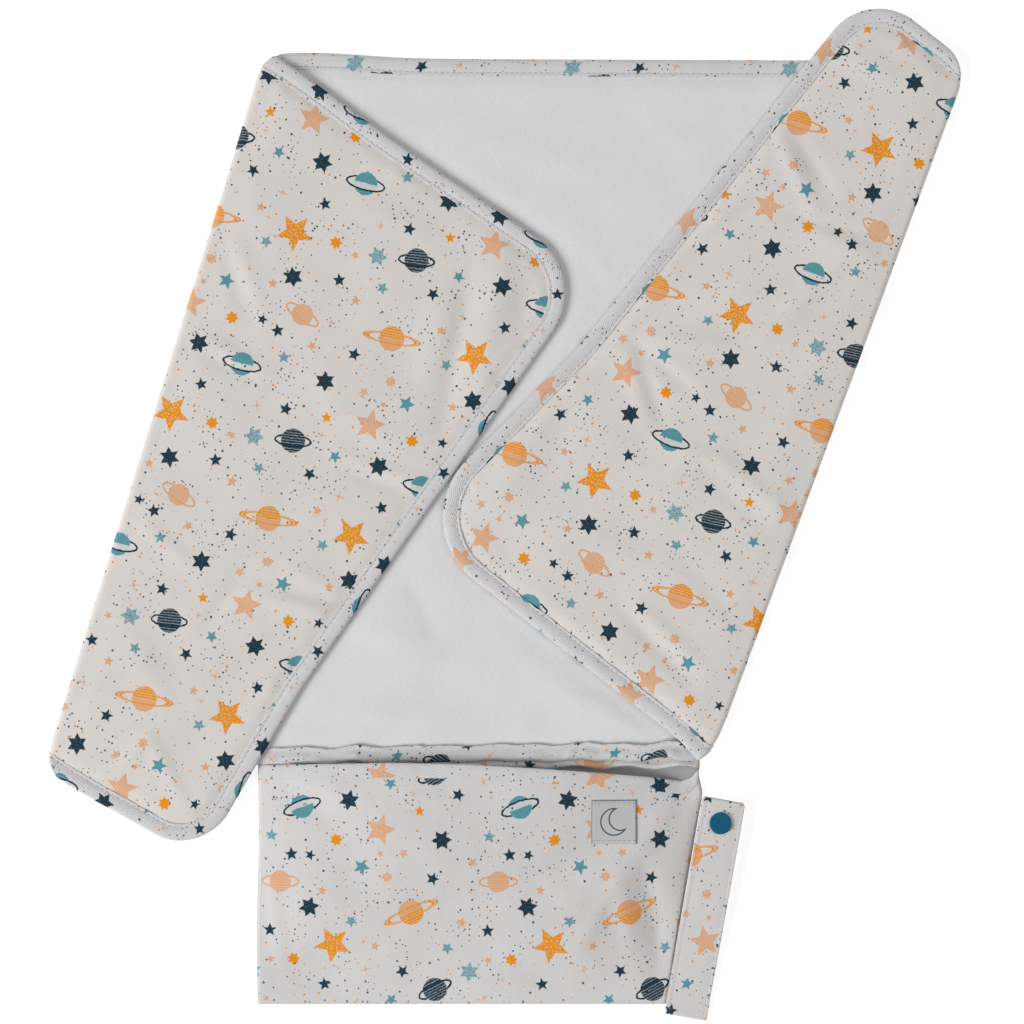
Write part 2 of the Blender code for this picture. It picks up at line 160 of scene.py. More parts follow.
class Finish:
    """Builds one material: a Principled shader and the nodes behind it."""

    def __init__(self, name, roughness, **shader_values):
        self.material = bpy.data.materials.new(name)
        self.material.use_nodes = True
        self.tree = self.material.node_tree
        self.shader = self.tree.nodes["Principled BSDF"]
        self.shader.inputs["Roughness"].default_value = roughness
        for socket, value in shader_values.items():
            self.shader.inputs[socket.replace("_", " ")].default_value = value

    def node(self, kind, settings, sockets, output=0):
        """Adds a node, sets it, gives its sockets values or links, and returns one output."""
        node = self.tree.nodes.new(kind)
        for key, value in settings.items():
            if key == "stops":
                self.set_stops(node.color_ramp, value)
            else:
                setattr(node, key, value)
        for socket, value in sockets.items():
            target = node.inputs[socket]
            if isinstance(value, Value):
                self.tree.links.new(value.socket, target)
            elif isinstance(value, (tuple, list)) and target.type == "RGBA":
                target.default_value = (*value[:3], 1.0)
            else:
                target.default_value = value
        return Value(self, node.outputs[output])

    def set_stops(self, ramp, stops):
        """Steps of one colour each, spread evenly over the ramp."""
        ramp.interpolation = "CONSTANT"
        for index, colour in enumerate(stops):
            place = index / len(stops)
            stop = ramp.elements[0] if index == 0 else ramp.elements.new(place)
            stop.position = place
            stop.color = colour
        ramp.elements.remove(ramp.elements[-1])

    def math(self, operation, *values):
        return self.node("ShaderNodeMath", {"operation": operation}, dict(enumerate(values)))

    def vector(self, operation, *values, output=0):
        sockets = dict(enumerate(values))
        return self.node("ShaderNodeVectorMath", {"operation": operation}, sockets, output)

    def scaled(self, vector, scale):
        sockets = {0: vector, "Scale": scale}
        return self.node("ShaderNodeVectorMath", {"operation": "SCALE"}, sockets)

    def parts(self, vector):
        """The x and y of a vector."""
        across = self.node("ShaderNodeSeparateXYZ", {}, {0: vector})
        return across, Value(self, across.socket.node.outputs[1])

    def fade(self, value, start, end):
        """0 at start, 1 at end, smooth between. End may be lower than start."""
        sockets = {"Value": value, 1: start, 2: end, 3: 0.0, 4: 1.0}
        return self.node("ShaderNodeMapRange", {"interpolation_type": "SMOOTHSTEP"}, sockets)

    def mix(self, factor, first, second, kind="MIX"):
        """Colour first at factor 0 and second at 1."""
        settings = {"data_type": "RGBA", "blend_type": kind}
        return self.node("ShaderNodeMix", settings, {0: factor, 6: first, 7: second}, 2)

    def noise(self, where, scale, detail=2.0, output=0):
        sockets = {"Vector": where, "Scale": scale, "Detail": detail}
        return self.node("ShaderNodeTexNoise", {}, sockets, output)

    def cloth_place(self):
        """The place on the flat cloth, in millimetres."""
        flat = self.node("ShaderNodeUVMap", {"uv_map": "UVMap"}, {})
        return self.scaled(flat, 1000.0)

    def object_place(self):
        """The place in the object, in millimetres."""
        return self.scaled(self.node("ShaderNodeTexCoord", {}, {}, "Object"), 1000.0)

    def colour(self, value):
        target = self.shader.inputs["Base Color"]
        if isinstance(value, Value):
            self.tree.links.new(value.socket, target)
        else:
            target.default_value = (*value, 1.0)

    def bump(self, height, distance, strength=1.0):
        """Raises the surface by height times distance, in millimetres."""
        sockets = {"Height": height, "Distance": distance * MM, "Strength": strength}
        normal = self.node("ShaderNodeBump", {}, sockets)
        self.tree.links.new(normal.socket, self.shader.inputs["Normal"])

    def split(self, colour):
        """The red, green and blue of a colour, as values."""
        red = self.node("ShaderNodeSeparateColor", {}, {0: colour})
        outputs = red.socket.node.outputs
        return red, Value(self, outputs[1]), Value(self, outputs[2])

    def grey(self, level):
        """A grey of a level that varies."""
        return self.node("ShaderNodeCombineColor", {}, {0: level, 1: level, 2: level})

    def jersey(self, where, pitch):
        """The height of a fine knit: rows of small loops, with some unevenness."""
        x, y = self.parts(where)
        columns = self.math("SINE", x * (2.0 * pi / pitch))
        rows = self.math("SINE", y * (2.0 * pi / (pitch * 0.8)) + columns * 0.8)
        return columns * 0.25 + rows * 0.25 + self.noise(where, 0.9, 2.0) * 1.2

    def ribbing(self, where):
        """The height of a ribbed tape: fine ribs that lean across it."""
        x, y = self.parts(where)
        lean = self.math("PINGPONG", y, 3.0)
        drift = self.noise(where, 0.12, 1.0) * 2.5
        ribs = self.math("SINE", (y + x * 0.3 + lean * 0.1 + drift) * (2.0 * pi / 1.25))
        return ribs * 0.7 + self.noise(where, 0.8, 2.0) * 0.9


SOLID, DOTTED, SCRIBBLED, MOTTLED_STAR, STRIPED, MOTTLED = 0.0, 0.15, 0.3, 0.45, 0.7, 0.95

# The print's motifs: cell, place in the cell, size, points, turn, style and ink. Places and
# sizes are in millimetres. A planet has no points, and ends with its ring and the ring's ink.
GRID_MOTIFS = (
    ((0, 0), (0, 0), 7.1, 0, 24, MOTTLED, PEACH, 16.6, ORANGE),
    ((1, 0), (3, 5), 3.8, 5, 20, SCRIBBLED, TEAL),
    ((2, 0), (-4, -3), 6.0, 6, 10, SOLID, NAVY),
    ((3, 0), (2, 6), 3.2, 5, 44, SOLID, PEACH),
    ((0, 1), (5, 3), 4.0, 5, 12, SOLID, NAVY),
    ((1, 1), (-5, 2), 3.4, 4, 15, SCRIBBLED, PEACH),
    ((2, 1), (5, -4), 3.8, 7, 30, SOLID, ORANGE),
    ((3, 1), (-2, 3), 5.8, 6, 25, MOTTLED_STAR, TEAL),
    ((0, 2), (-5, 4), 3.4, 5, 52, SOLID, ORANGE),
    ((1, 2), (4, -2), 6.0, 6, 18, SOLID, NAVY),
    ((2, 2), (0, 2), 6.5, 0, 20, MOTTLED, TEAL, 10.8, NAVY),
    ((3, 2), (4, -5), 4.0, 5, 36, SOLID, NAVY),
    ((0, 3), (4, -3), 3.2, 5, 8, SCRIBBLED, PEACH),
    ((1, 3), (-3, 5), 5.0, 5, 28, SOLID, TEAL),
    ((2, 3), (6, -2), 4.0, 5, 60, SOLID, NAVY),
    ((3, 3), (-4, 2), 3.0, 5, 5, SOLID, PEACH),
)
BETWEEN_MOTIFS = (
    ((0, 0), (3, -4), 4.0, 5, 33, SOLID, NAVY),
    ((1, 0), (-2, -5), 3.4, 7, 10, SCRIBBLED, PEACH),
    ((2, 0), (4, 3), 3.0, 5, 48, SOLID, PEACH),
    ((3, 0), (-3, -2), 6.1, 0, -25, STRIPED, PEACH, 10.5, PEACH),
    ((0, 1), (-5, 5), 3.8, 5, 22, SCRIBBLED, TEAL),
    ((1, 1), (5, 4), 3.0, 5, 40, SOLID, PEACH),
    ((2, 1), (-2, 3), 10.9, 5, 10, DOTTED, ORANGE),
    ((3, 1), (3, -5), 4.0, 5, 55, SOLID, NAVY),
    ((0, 2), (2, -2), 6.8, 0, 28, STRIPED, NAVY, 10.0, NAVY),
    ((1, 2), (-4, 4), 3.8, 5, 16, SOLID, TEAL),
    ((2, 2), (3, -5), 3.9, 5, 62, SOLID, NAVY),
    ((3, 2), (5, 3), 3.2, 4, 40, SCRIBBLED, PEACH),
    ((0, 3), (-2, 5), 6.0, 6, 3, SOLID, NAVY),
    ((1, 3), (2, -1), 9.4, 5, 38, SCRIBBLED, PEACH),
    ((2, 3), (-4, 5), 3.8, 7, 24, SOLID, ORANGE),
    ((3, 3), (2, 3), 3.8, 5, 50, SCRIBBLED, TEAL),
)
FILL_MOTIFS = (
    ((1, 1), (4, -6), 2.3, 4, 10, SOLID, PEACH),
    ((3, 1), (-5, 4), 2.6, 5, 0, SOLID, PEACH),
    ((0, 2), (6, 2), 2.4, 4, 24, SOLID, PEACH),
    ((2, 3), (3, 6), 3.2, 5, 31, SOLID, NAVY),
    ((1, 3), (-6, 5), 2.2, 5, 9, SOLID, PEACH),
    ((3, 0), (5, -4), 2.4, 4, 42, SOLID, PEACH),
)


def motif_tables(motifs):
    """Three rows of ramp colours, one column for each cell of the tile."""
    empty = (0.5, 0.5, 0.0, 0.0)
    places = [empty] * CELLS ** 2
    shapes = [(0.5, 0.0, 0.0, 0.0)] * CELLS ** 2
    inks = [(0.0, 0.0, 0.0, 0.0)] * CELLS ** 2
    for (column, row), (x, y), size, points, turn, style, ink, *planet in motifs:
        ring, second = planet or (0.0, ink)
        index = column + CELLS * row
        places[index] = (0.5 + x / CELL, 0.5 + y / CELL, size / 10.0, style)
        shapes[index] = (max(points, 3) / 10.0, turn / 90.0, ring / 20.0, float(second == NAVY))
        inks[index] = (*ink, 1.0)
    return places, shapes, inks


def add_motifs(finish, where, wobble, grain, motifs, shift):
    """One layer of the print: the colour of its ink, and how much of it covers the cloth."""
    places, shapes, inks = motif_tables(motifs)
    cells = finish.vector("ADD", finish.scaled(where, 1.0 / CELL), (*shift, 0.0))
    cell = finish.vector("FLOOR", finish.vector("ADD", cells, (0.5, 0.5, 0.0)))
    inside = finish.vector("SUBTRACT", cells, cell)
    wrapped = finish.vector("WRAP", cell, (CELLS, CELLS, 1.0), (0.0, 0.0, 0.0))
    weights = (1.0 / CELLS ** 2, 1.0 / CELLS, 0.0)
    index = finish.vector("DOT_PRODUCT", wrapped, weights, output=1) + 0.5 / CELLS ** 2
    rows = []
    for stops in (places, shapes, inks):
        ramp = finish.node("ShaderNodeValToRGB", {"stops": stops}, {0: index})
        rows.append((ramp, Value(finish, ramp.socket.node.outputs[1])))
    (place, style), (shape, dark_ring), (ink, _) = rows
    _, _, size = finish.split(place)
    points, turn, ring = finish.split(shape)
    size = size * 10.0
    ring = ring * 20.0
    middle = finish.vector("ADD", inside, (0.5, 0.5, 0.0))
    local = finish.scaled(finish.vector("SUBTRACT", middle, place), CELL)
    local = finish.vector("ADD", local, wobble)
    settings = {"rotation_type": "Z_AXIS"}
    sockets = {"Vector": local, "Angle": turn * -radians(90.0)}
    local = finish.node("ShaderNodeVectorRotate", settings, sockets)
    local = finish.vector("MULTIPLY", local, (1.0, 1.0, 0.0))
    x, y = finish.parts(local)
    reach = finish.vector("LENGTH", local, output=1)
    sector = (pi / 10.0) / points
    angle = finish.math("ARCTAN2", y, x)
    angle = finish.math("ABSOLUTE", finish.math("WRAP", angle, sector, sector * -1.0))
    inner = finish.fade(points, 0.35, 0.75) * 0.28 + 0.36
    inner = inner - finish.fade(points, 0.5, 0.4) * 0.17
    side_x = inner * finish.math("SINE", sector)
    side_y = 1.0 - inner * finish.math("COSINE", sector)
    edge = (reach * finish.math("COSINE", angle) - size) * side_x
    edge = edge + reach * finish.math("SINE", angle) * side_y
    edge = edge / finish.math("SQRT", side_x * side_x + side_y * side_y)
    planet = finish.math("GREATER_THAN", style, 0.6)
    edge = edge + planet * (reach - size - edge)
    body = finish.fade(edge, 0.16, -0.16) * finish.math("GREATER_THAN", size, 0.5)
    striped = planet * finish.math("LESS_THAN", style, 0.8)
    stripes = finish.fade(finish.math("SINE", y * 4.2 + grain * 3.0), 0.55, 0.95)
    scribble = finish.math("COMPARE", style, SCRIBBLED, 0.05)
    strokes = finish.fade(finish.math("SINE", (x + y * 0.6) * 3.6 + grain * 9.0), 0.1, 0.9)
    mottled = finish.math("COMPARE", style, MOTTLED_STAR, 0.05)
    cover = body * (1.0 - striped * stripes * 0.5) * (1.0 - scribble * strokes * 0.38)
    cover = cover * (1.0 - mottled * finish.fade(grain, 0.62, 0.40) * 0.45)
    dots = {"voronoi_dimensions": "2D"}
    spot = finish.node("ShaderNodeTexVoronoi", dots, {"Vector": where, "Scale": 0.62})
    dotted = finish.math("COMPARE", style, DOTTED, 0.05)
    cover = cover * (1.0 - dotted * finish.fade(spot, 0.22, 0.15) * 0.8)
    cover = cover * (finish.fade(grain, 0.2, 0.5) * 0.18 + 0.82)
    ringed = finish.math("GREATER_THAN", ring, 1.0)
    double = finish.math("GREATER_THAN", ring, 14.0)
    flat = double * 1.9 + 3.1
    tall = y * flat
    oval = finish.math("SQRT", x * x + tall * tall)
    steep = tall * flat
    slope = finish.math("SQRT", x * x + steep * steep) + 0.001
    from_ring = finish.math("ABSOLUTE", (oval - ring) * oval / slope)
    hidden = body * finish.fade(y, -0.2, 0.2)
    line = finish.fade(from_ring, 0.66, 0.42) * (1.0 - double)
    band = finish.fade(oval, ring + 0.4, ring) * finish.fade(oval, ring * 0.74, ring * 0.80)
    slit = finish.fade(finish.math("ABSOLUTE", oval - ring * 0.90), 0.25, 0.7) * 0.6 + 0.4
    line = (line + band * slit * double) * ringed * (1.0 - hidden)
    within = finish.fade(oval, ring + 0.3, ring - 0.3) * finish.fade(y, 0.5, 0.1)
    cover = cover * (1.0 - within * ringed * (1.0 - double) * (1.0 - striped) * 0.9)
    upper_half = double * finish.fade(y, -0.6, 0.6) * finish.fade(grain, 0.32, 0.46)
    cover = cover * (1.0 - double * stripes * finish.fade(y, -1.8, 0.0) * 0.5)
    ink = finish.mix(upper_half, ink, ORANGE)
    ink = finish.mix(line * dark_ring, ink, NAVY)
    ink = finish.mix(line * double, ink, ORANGE)
    return ink, finish.math("MAXIMUM", cover, line)


def add_dots(finish, where, scale, offset, density, radius):
    """Loose dots: how much they cover the cloth, and a random number for each."""
    settings = {"voronoi_dimensions": "2D"}
    moved = finish.vector("ADD", where, (offset, offset * 0.7, 0.0))
    near = finish.node("ShaderNodeTexVoronoi", settings, {"Vector": moved, "Scale": scale})
    colour = Value(finish, near.socket.node.outputs["Color"])
    chance, size, hue = finish.split(colour)
    distance = near / scale
    shown = finish.math("LESS_THAN", chance, density)
    edge = size * size * radius * 0.55 + radius * 0.62
    return finish.fade(distance - edge, 0.14, -0.14) * shown, hue


def printed_cloth(name, ground, weave, ribs=False):
    """Cloth with the space print: planets, stars and dots on a pale ground."""
    finish = Finish(
        name, 0.88, Sheen_Weight=0.04, Sheen_Roughness=0.5, Specular_IOR_Level=CLOTH_GLOSS
    )
    where = finish.cloth_place()
    wobble = finish.noise(where, 0.55, 1.0, "Color")
    wobble = finish.scaled(finish.vector("SUBTRACT", wobble, (0.5, 0.5, 0.5)), 0.9)
    grain = finish.noise(where, 1.1, 3.0)
    tone = finish.noise(where, 0.035, 2.0)
    base = finish.mix(finish.fade(tone, 0.3, 0.7), ground, [c * 0.965 for c in ground])
    heather = finish.noise(where, 2.4, 1.0)
    base = finish.mix(finish.fade(heather, 0.35, 0.75) * 0.05, base, (0.2, 0.2, 0.22))
    loose, hue = add_dots(finish, where, 1.0 / 5.8, 0.0, 0.50, 0.62)
    tight, _ = add_dots(finish, where, 1.0 / 3.2, 40.0, 0.46, 0.52)
    clusters = finish.fade(finish.noise(where, 0.055, 0.0), 0.54, 0.60)
    dot_ink = finish.mix(finish.math("GREATER_THAN", hue, 0.55), NAVY, ORANGE)
    inked = finish.mix(tight * clusters * 0.9, base, NAVY)
    inked = finish.mix(loose * 0.92, inked, dot_ink)
    for motifs, shift in (
        (FILL_MOTIFS, (0.25, 0.25)), (BETWEEN_MOTIFS, (0.5, 0.5)), (GRID_MOTIFS, (0.0, 0.0)),
    ):
        ink, cover = add_motifs(finish, where, wobble, grain, motifs, shift)
        inked = finish.mix(cover, inked, ink)
    relief = finish.ribbing(where) if ribs else finish.jersey(where, weave)
    # Painted shade: the ground darkens in the valleys of the knit, by up to 4 percent, and in the
    # valleys of the tape's ribs, by up to 7 percent.
    level = finish.fade(relief, -0.4, 1.3) * (0.07 if ribs else 0.04) + (0.93 if ribs else 0.97)
    finish.colour(finish.mix(1.0, inked, finish.grey(level), "MULTIPLY"))
    finish.bump(relief, 0.08 if ribs else 0.06)
    return finish.material


def brushed_lining(name, colour):
    """Soft brushed cloth: short fibres and a little pilling."""
    finish = Finish(
        name, 0.95, Sheen_Weight=0.08, Sheen_Roughness=0.6, Specular_IOR_Level=CLOTH_GLOSS
    )
    where = finish.cloth_place()
    fibres = finish.noise(where, 1.6, 4.0)
    tone = finish.noise(where, 0.05, 3.0)
    base = finish.mix(finish.fade(tone, 0.3, 0.7), colour, [c * 0.975 for c in colour])
    base = finish.mix(finish.fade(fibres, 0.45, 0.75) * 0.10, base, [c * 0.7 for c in colour])
    finish.colour(base)
    finish.bump(fibres * 0.8 + finish.noise(where, 0.35, 2.0) * 1.2, 0.14)
    return finish.material


def plain_thread(name, colour):
    finish = Finish(name, 0.7)
    where = finish.object_place()
    twist = finish.noise(where, 3.0, 1.0)
    finish.colour(finish.mix(twist, colour, [c * 0.8 for c in colour]))
    finish.bump(twist, 0.05)
    return finish.material


def moulded_plastic(name, colour):
    """The press snap: smooth satin plastic with faint moulding haze."""
    finish = Finish(name, 0.5, Specular_IOR_Level=0.2)
    where = finish.object_place()
    haze = finish.noise(where, 0.5, 2.0)
    finish.colour(finish.mix(haze * 0.25, colour, [c * 0.8 for c in colour]))
    roughness = haze * 0.12 + 0.44
    finish.tree.links.new(roughness.socket, finish.shader.inputs["Roughness"])
    finish.bump(finish.noise(where, 3.0, 1.0), 0.01)
    return finish.material


def woven_label(name):
    """Damask label: fine ribs, a line down each side and along the top, and a crescent moon."""
    finish = Finish(name, 0.75, Sheen_Weight=0.2)
    where = finish.cloth_place()
    x, y = finish.parts(where)
    reach = finish.vector("LENGTH", finish.vector("MULTIPLY", where, (1.0, 1.0, 0.0)), output=1)
    bite = finish.vector("SUBTRACT", where, (3.6, 1.6, 0.0))
    bite = finish.vector("LENGTH", finish.vector("MULTIPLY", bite, (1.0, 1.0, 0.0)), output=1)
    outside = finish.math("MAXIMUM", reach - 7.6, 6.3 - bite)
    moon = finish.fade(finish.math("ABSOLUTE", outside + 0.1), 0.48, 0.28)
    sides = finish.math("ABSOLUTE", x)
    edge = finish.fade(sides, 12.15, 12.3) * finish.fade(sides, 12.75, 12.6)
    top = finish.fade(y, 11.7, 11.85) * finish.fade(y, 12.3, 12.15)
    weave = finish.math("SINE", y * (2.0 * pi / 0.42)) * 0.5 + 0.5
    base = finish.mix(weave * 0.35, (0.585, 0.585, 0.59), (0.43, 0.435, 0.445))
    line = finish.math("MAXIMUM", edge, top) * 0.75
    base = finish.mix(line, base, (0.05, 0.075, 0.10))
    finish.colour(finish.mix(moon * 0.95, base, NAVY))
    finish.bump(weave + finish.noise(where, 1.5, 2.0), 0.06)
    return finish.material


cover_finish = printed_cloth("printed_cover", WARM_WHITE, 0.9)
pouch_finish = printed_cloth("printed_pouch", COOL_WHITE, 0.9)
binding_finish = printed_cloth("printed_binding", BINDING_WHITE, 0.9, ribs=True)
lining_finish = brushed_lining("brushed_lining", LINING_WHITE)
# The pouch's inside: plain reverse cloth whose dark grey is painted shade.
reverse_shade_finish = brushed_lining("plain_reverse", REVERSE_SHADE_GREY)
wadding_finish = brushed_lining("wadding", (0.75, 0.75, 0.73))
# Thread of the mat's, wings' and label's seams: its grey is partly the thread's own and partly
# painted shade of the dents the stitches sit in.
thread_finish = plain_thread("grey_thread", (0.44, 0.44, 0.47))
strap_thread_finish = plain_thread("white_thread", (0.60, 0.595, 0.60))
snap_finish = moulded_plastic("snap_plastic", SNAP_BLUE)
label_finish = woven_label("label_weave")


# Meshes


def put(name, data):
    """A new object in the scene."""
    item = bpy.data.objects.new(name, data)
    bpy.context.scene.collection.objects.link(item)
    return item


def belongs(item, body, slot, *nodes):
    """Puts a piece on the body it rides on and hides the nodes it replaces. The slot is not used.
    """
    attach(item, body)
    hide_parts(*nodes)


def finish_mesh(name, points, faces, flat_places, materials, face_materials=None):
    """A smooth-shaded object whose faces point outwards. Points are in millimetres."""
    mesh = bpy.data.meshes.new(name)
    points = np.asarray(points, float) * MM
    mesh.from_pydata(points.tolist(), [], faces)
    shape = bmesh.new()
    shape.from_mesh(mesh)
    inside_out = shape.calc_volume(signed=True) < 0.0
    shape.free()
    if inside_out:
        mesh.flip_normals()
    if flat_places is not None:
        layer = mesh.uv_layers.new(name="UVMap")
        corners = np.empty(len(mesh.loops), np.int32)
        mesh.loops.foreach_get("vertex_index", corners)
        places = np.asarray(flat_places, float)[corners] * MM
        layer.data.foreach_set("uv", places.astype(np.float32).ravel())
    for material in materials:
        mesh.materials.append(material)
    if face_materials is not None:
        mesh.polygons.foreach_set("material_index", np.asarray(face_materials, np.int32))
    mesh.polygons.foreach_set("use_smooth", [True] * len(mesh.polygons))
    mesh.update()
    return put(name, mesh)


def shell(name, upper, lower, triangles, flat_places, materials, face_materials=(0, 0, 0)):
    """A closed sheet from the same triangles on two surfaces, joined round their edges."""
    count = len(upper)
    used = {}
    for face in triangles:
        for index, start in enumerate(face):
            used[(start, face[(index + 1) % len(face)])] = True
    faces = [tuple(face) for face in triangles]
    kinds = [face_materials[0]] * len(faces)
    faces += [tuple(count + index for index in reversed(face)) for face in triangles]
    kinds += [face_materials[1]] * len(triangles)
    for start, end in used:
        if (end, start) not in used:
            faces.append((end, start, start + count, end + count))
            kinds.append(face_materials[2])
    points = np.vstack((upper, lower))
    places = np.vstack((flat_places, flat_places))
    return finish_mesh(name, points, faces, places, materials, kinds)


def sweep(name, sections, places, materials):
    """A tube through sections, each a closed loop of points, with a flat cap at each end."""
    sections = np.asarray(sections, float)
    rows, around, _ = sections.shape
    faces = []
    for row in range(rows - 1):
        for index in range(around):
            after = (index + 1) % around
            first = row * around
            second = first + around
            faces.append((first + index, first + after, second + after, second + index))
    faces.append(tuple(range(around))[::-1])
    faces.append(tuple(range((rows - 1) * around, rows * around)))
    flat = np.asarray(places, float).reshape(-1, 2)
    return finish_mesh(name, sections.reshape(-1, 3), faces, flat, materials)


def smooth(value, start, end):
    """0 at start, 1 at end, smooth between."""
    share = np.clip((value - start) / (end - start), 0.0, 1.0)
    return share * share * (3.0 - 2.0 * share)


def waves(points, scale, seed=0.0):
    """Smooth random heights from -1 to 1 over plan points."""
    at = [noise.noise(Vector((x / scale, y / scale, seed))) for x, y in points]
    return np.array(at) * 1.6


def line_cross(point, run, other, other_run):
    """Where two plan lines meet."""
    share = np.linalg.solve(np.column_stack((run, -other_run)), other - point)[0]
    return point + run * share


# Where the cloth has crept out of line: the middle of each pull, its shift and its reach.
PULLS = (
    ((-112.0, 257.0), (0.0, 3.2), 42.0),
    ((-242.0, -158.0), (-0.8, -2.8), 38.0),
    ((-196.0, -182.0), (0.0, -1.6), 26.0),
    ((112.0, -138.0), (-2.6, -1.4), 14.0),
)


def soften_corners(places):
    """Rounds the mat where its folds meet its edges. Places are plan or space points."""
    moved = np.array(places, float)
    start = moved[:, :2].copy()
    for corner, normals, radius in ROUNDED_ENDS:
        inward = (moved[:, :2] - corner) @ normals.T
        near = (inward < radius).all(axis=1) & (inward > -2.0).all(axis=1)
        share = np.clip(1.0 - inward[near] / radius, 0.0, 1.1)
        swapped = share[:, ::-1]
        rounded = radius - radius * share * np.sqrt(1.0 - swapped * swapped / 2.0)
        shift = (rounded - np.maximum(inward[near], -0.1 * radius)) @ np.linalg.inv(normals).T
        moved[near, :2] += shift
    for middle, shift, reach in PULLS:
        distance = np.linalg.norm(start - middle, axis=1)
        moved[:, :2] += np.exp(-(distance / reach) ** 2)[:, None] * shift
    return moved


def creases(points, lines):
    """The height of soft ridges and valleys, each a line with a width and a height."""
    height = np.zeros(len(points))
    for x0, y0, x1, y1, width, rise in lines:
        start = np.array((x0, y0))
        run = np.array((x1 - x0, y1 - y0))
        share = np.clip(((points - start) @ run) / (run @ run), 0.0, 1.0)
        distance = np.linalg.norm(points - start - share[:, None] * run, axis=1)
        taper = np.sin(pi * (0.15 + 0.7 * share))
        height += rise * taper * np.exp(-(distance / width) ** 2)
    return height


# Outlines


def inset_line(start, end, inset, turn):
    """A point on the line from start to end, moved inwards, and the line's direction."""
    run = Vector((end[0] - start[0], end[1] - start[1]))
    run.normalize()
    return Vector((start[0], start[1])) + turn * inset * Vector((-run.y, run.x)), run


def crossing(first, second):
    """Where two lines meet, each given as a point and a direction."""
    (p, d), (q, e) = first, second
    along = ((q.x - p.x) * e.y - (q.y - p.y) * e.x) / (d.x * e.y - d.y * e.x)
    return p + d * along


def outline_run(corners, insets, first, last, spacing):
    """Plan points from one corner round to another, each edge moved inwards by its inset."""
    count = len(corners)
    area = 0.0
    for index in range(count):
        a, b = corners[index], corners[(index + 1) % count]
        area += a[0] * b[1] - b[0] * a[1]
    turn = 1.0 if area > 0.0 else -1.0
    lines = []
    for index in range(count):
        after = corners[(index + 1) % count]
        lines.append(inset_line(corners[index], after, insets[index], turn))
    stops = []
    for index in range(first, last + 1):
        corner = corners[index % count]
        before, after = lines[index % count - 1], lines[index % count]
        point = crossing(before, after)
        radius = corner[2] if len(corner) > 2 else 0.0
        if radius <= 0.0 or index in (first, last):
            stops.append([point])
            continue
        bend = before[1].angle_signed(after[1])
        side = -turn * (1.0 if bend < 0.0 else -1.0)
        convex = (before[1].x * after[1].y - before[1].y * after[1].x) * turn > 0.0
        inset = insets[index % count]
        inner = max(radius - (inset if convex else -inset), 0.5)
        tangent = inner * abs(sin(bend / 2.0) / cos(bend / 2.0))
        start = point - before[1] * tangent
        steps = max(2, round(radius * abs(bend) / spacing))
        left = 1.0 if before[1].x * after[1].y - before[1].y * after[1].x > 0.0 else -1.0
        centre = start + left * inner * Vector((-before[1].y, before[1].x))
        arc = []
        for step in range(steps + 1):
            angle = left * abs(bend) * step / steps
            arm = start - centre
            arc.append(centre + Vector((
                arm.x * cos(angle) - arm.y * sin(angle),
                arm.x * sin(angle) + arm.y * cos(angle),
            )))
        stops.append(arc)
    points = list(stops[0])
    for index, arc in enumerate(stops[1:], first):
        a, b = corners[index % count], corners[(index + 1) % count]
        steps = max(2, round(hypot(b[0] - a[0], b[1] - a[1]) * 0.8 / spacing))
        start = points[-1]
        for step in range(1, steps):
            points.append(start.lerp(arc[0], step / steps))
        points += arc
    return np.array([(point.x, point.y) for point in points])


def wing_corners(fold, free_corners):
    return [(*fold[0], 0.0), *free_corners, (*fold[1], 0.0)]


MAT_CORNERS = [
    (*point, 0.0) for point in (LEFT_FOLD[0], RIGHT_FOLD[0], RIGHT_FOLD[1], LEFT_FOLD[1])
]
LEFT_CORNERS = wing_corners(LEFT_FOLD, LEFT_WING)
RIGHT_CORNERS = wing_corners(RIGHT_FOLD, RIGHT_WING)
TOP_MIDDLE = tuple((a + b) / 2.0 for a, b in zip(LEFT_FOLD[0], RIGHT_FOLD[0]))
BOTTOM_MIDDLE = tuple((a + b) / 2.0 for a, b in zip(LEFT_FOLD[1], RIGHT_FOLD[1]))


def distance_to(points, path):
    """Each point's distance to a path of plan points."""
    nearest = np.full(len(points), 1e9)
    for start, end in zip(path, path[1:]):
        run = end - start
        share = np.clip(((points - start) @ run) / (run @ run), 0.0, 1.0)
        gap = points - start - share[:, None] * run
        nearest = np.minimum(nearest, np.einsum("ij,ij->i", gap, gap))
    return np.sqrt(nearest)


def inside(points, outline):
    """Which points lie inside an outline."""
    odd = np.zeros(len(points), bool)
    x, y = points[:, 0], points[:, 1]
    for (x0, y0), (x1, y1) in zip(outline, np.roll(outline, -1, axis=0)):
        if y0 == y1:
            continue
        crosses = (y0 > y) != (y1 > y)
        odd ^= crosses & (x < (x1 - x0) * (y - y0) / (y1 - y0) + x0)
    return odd


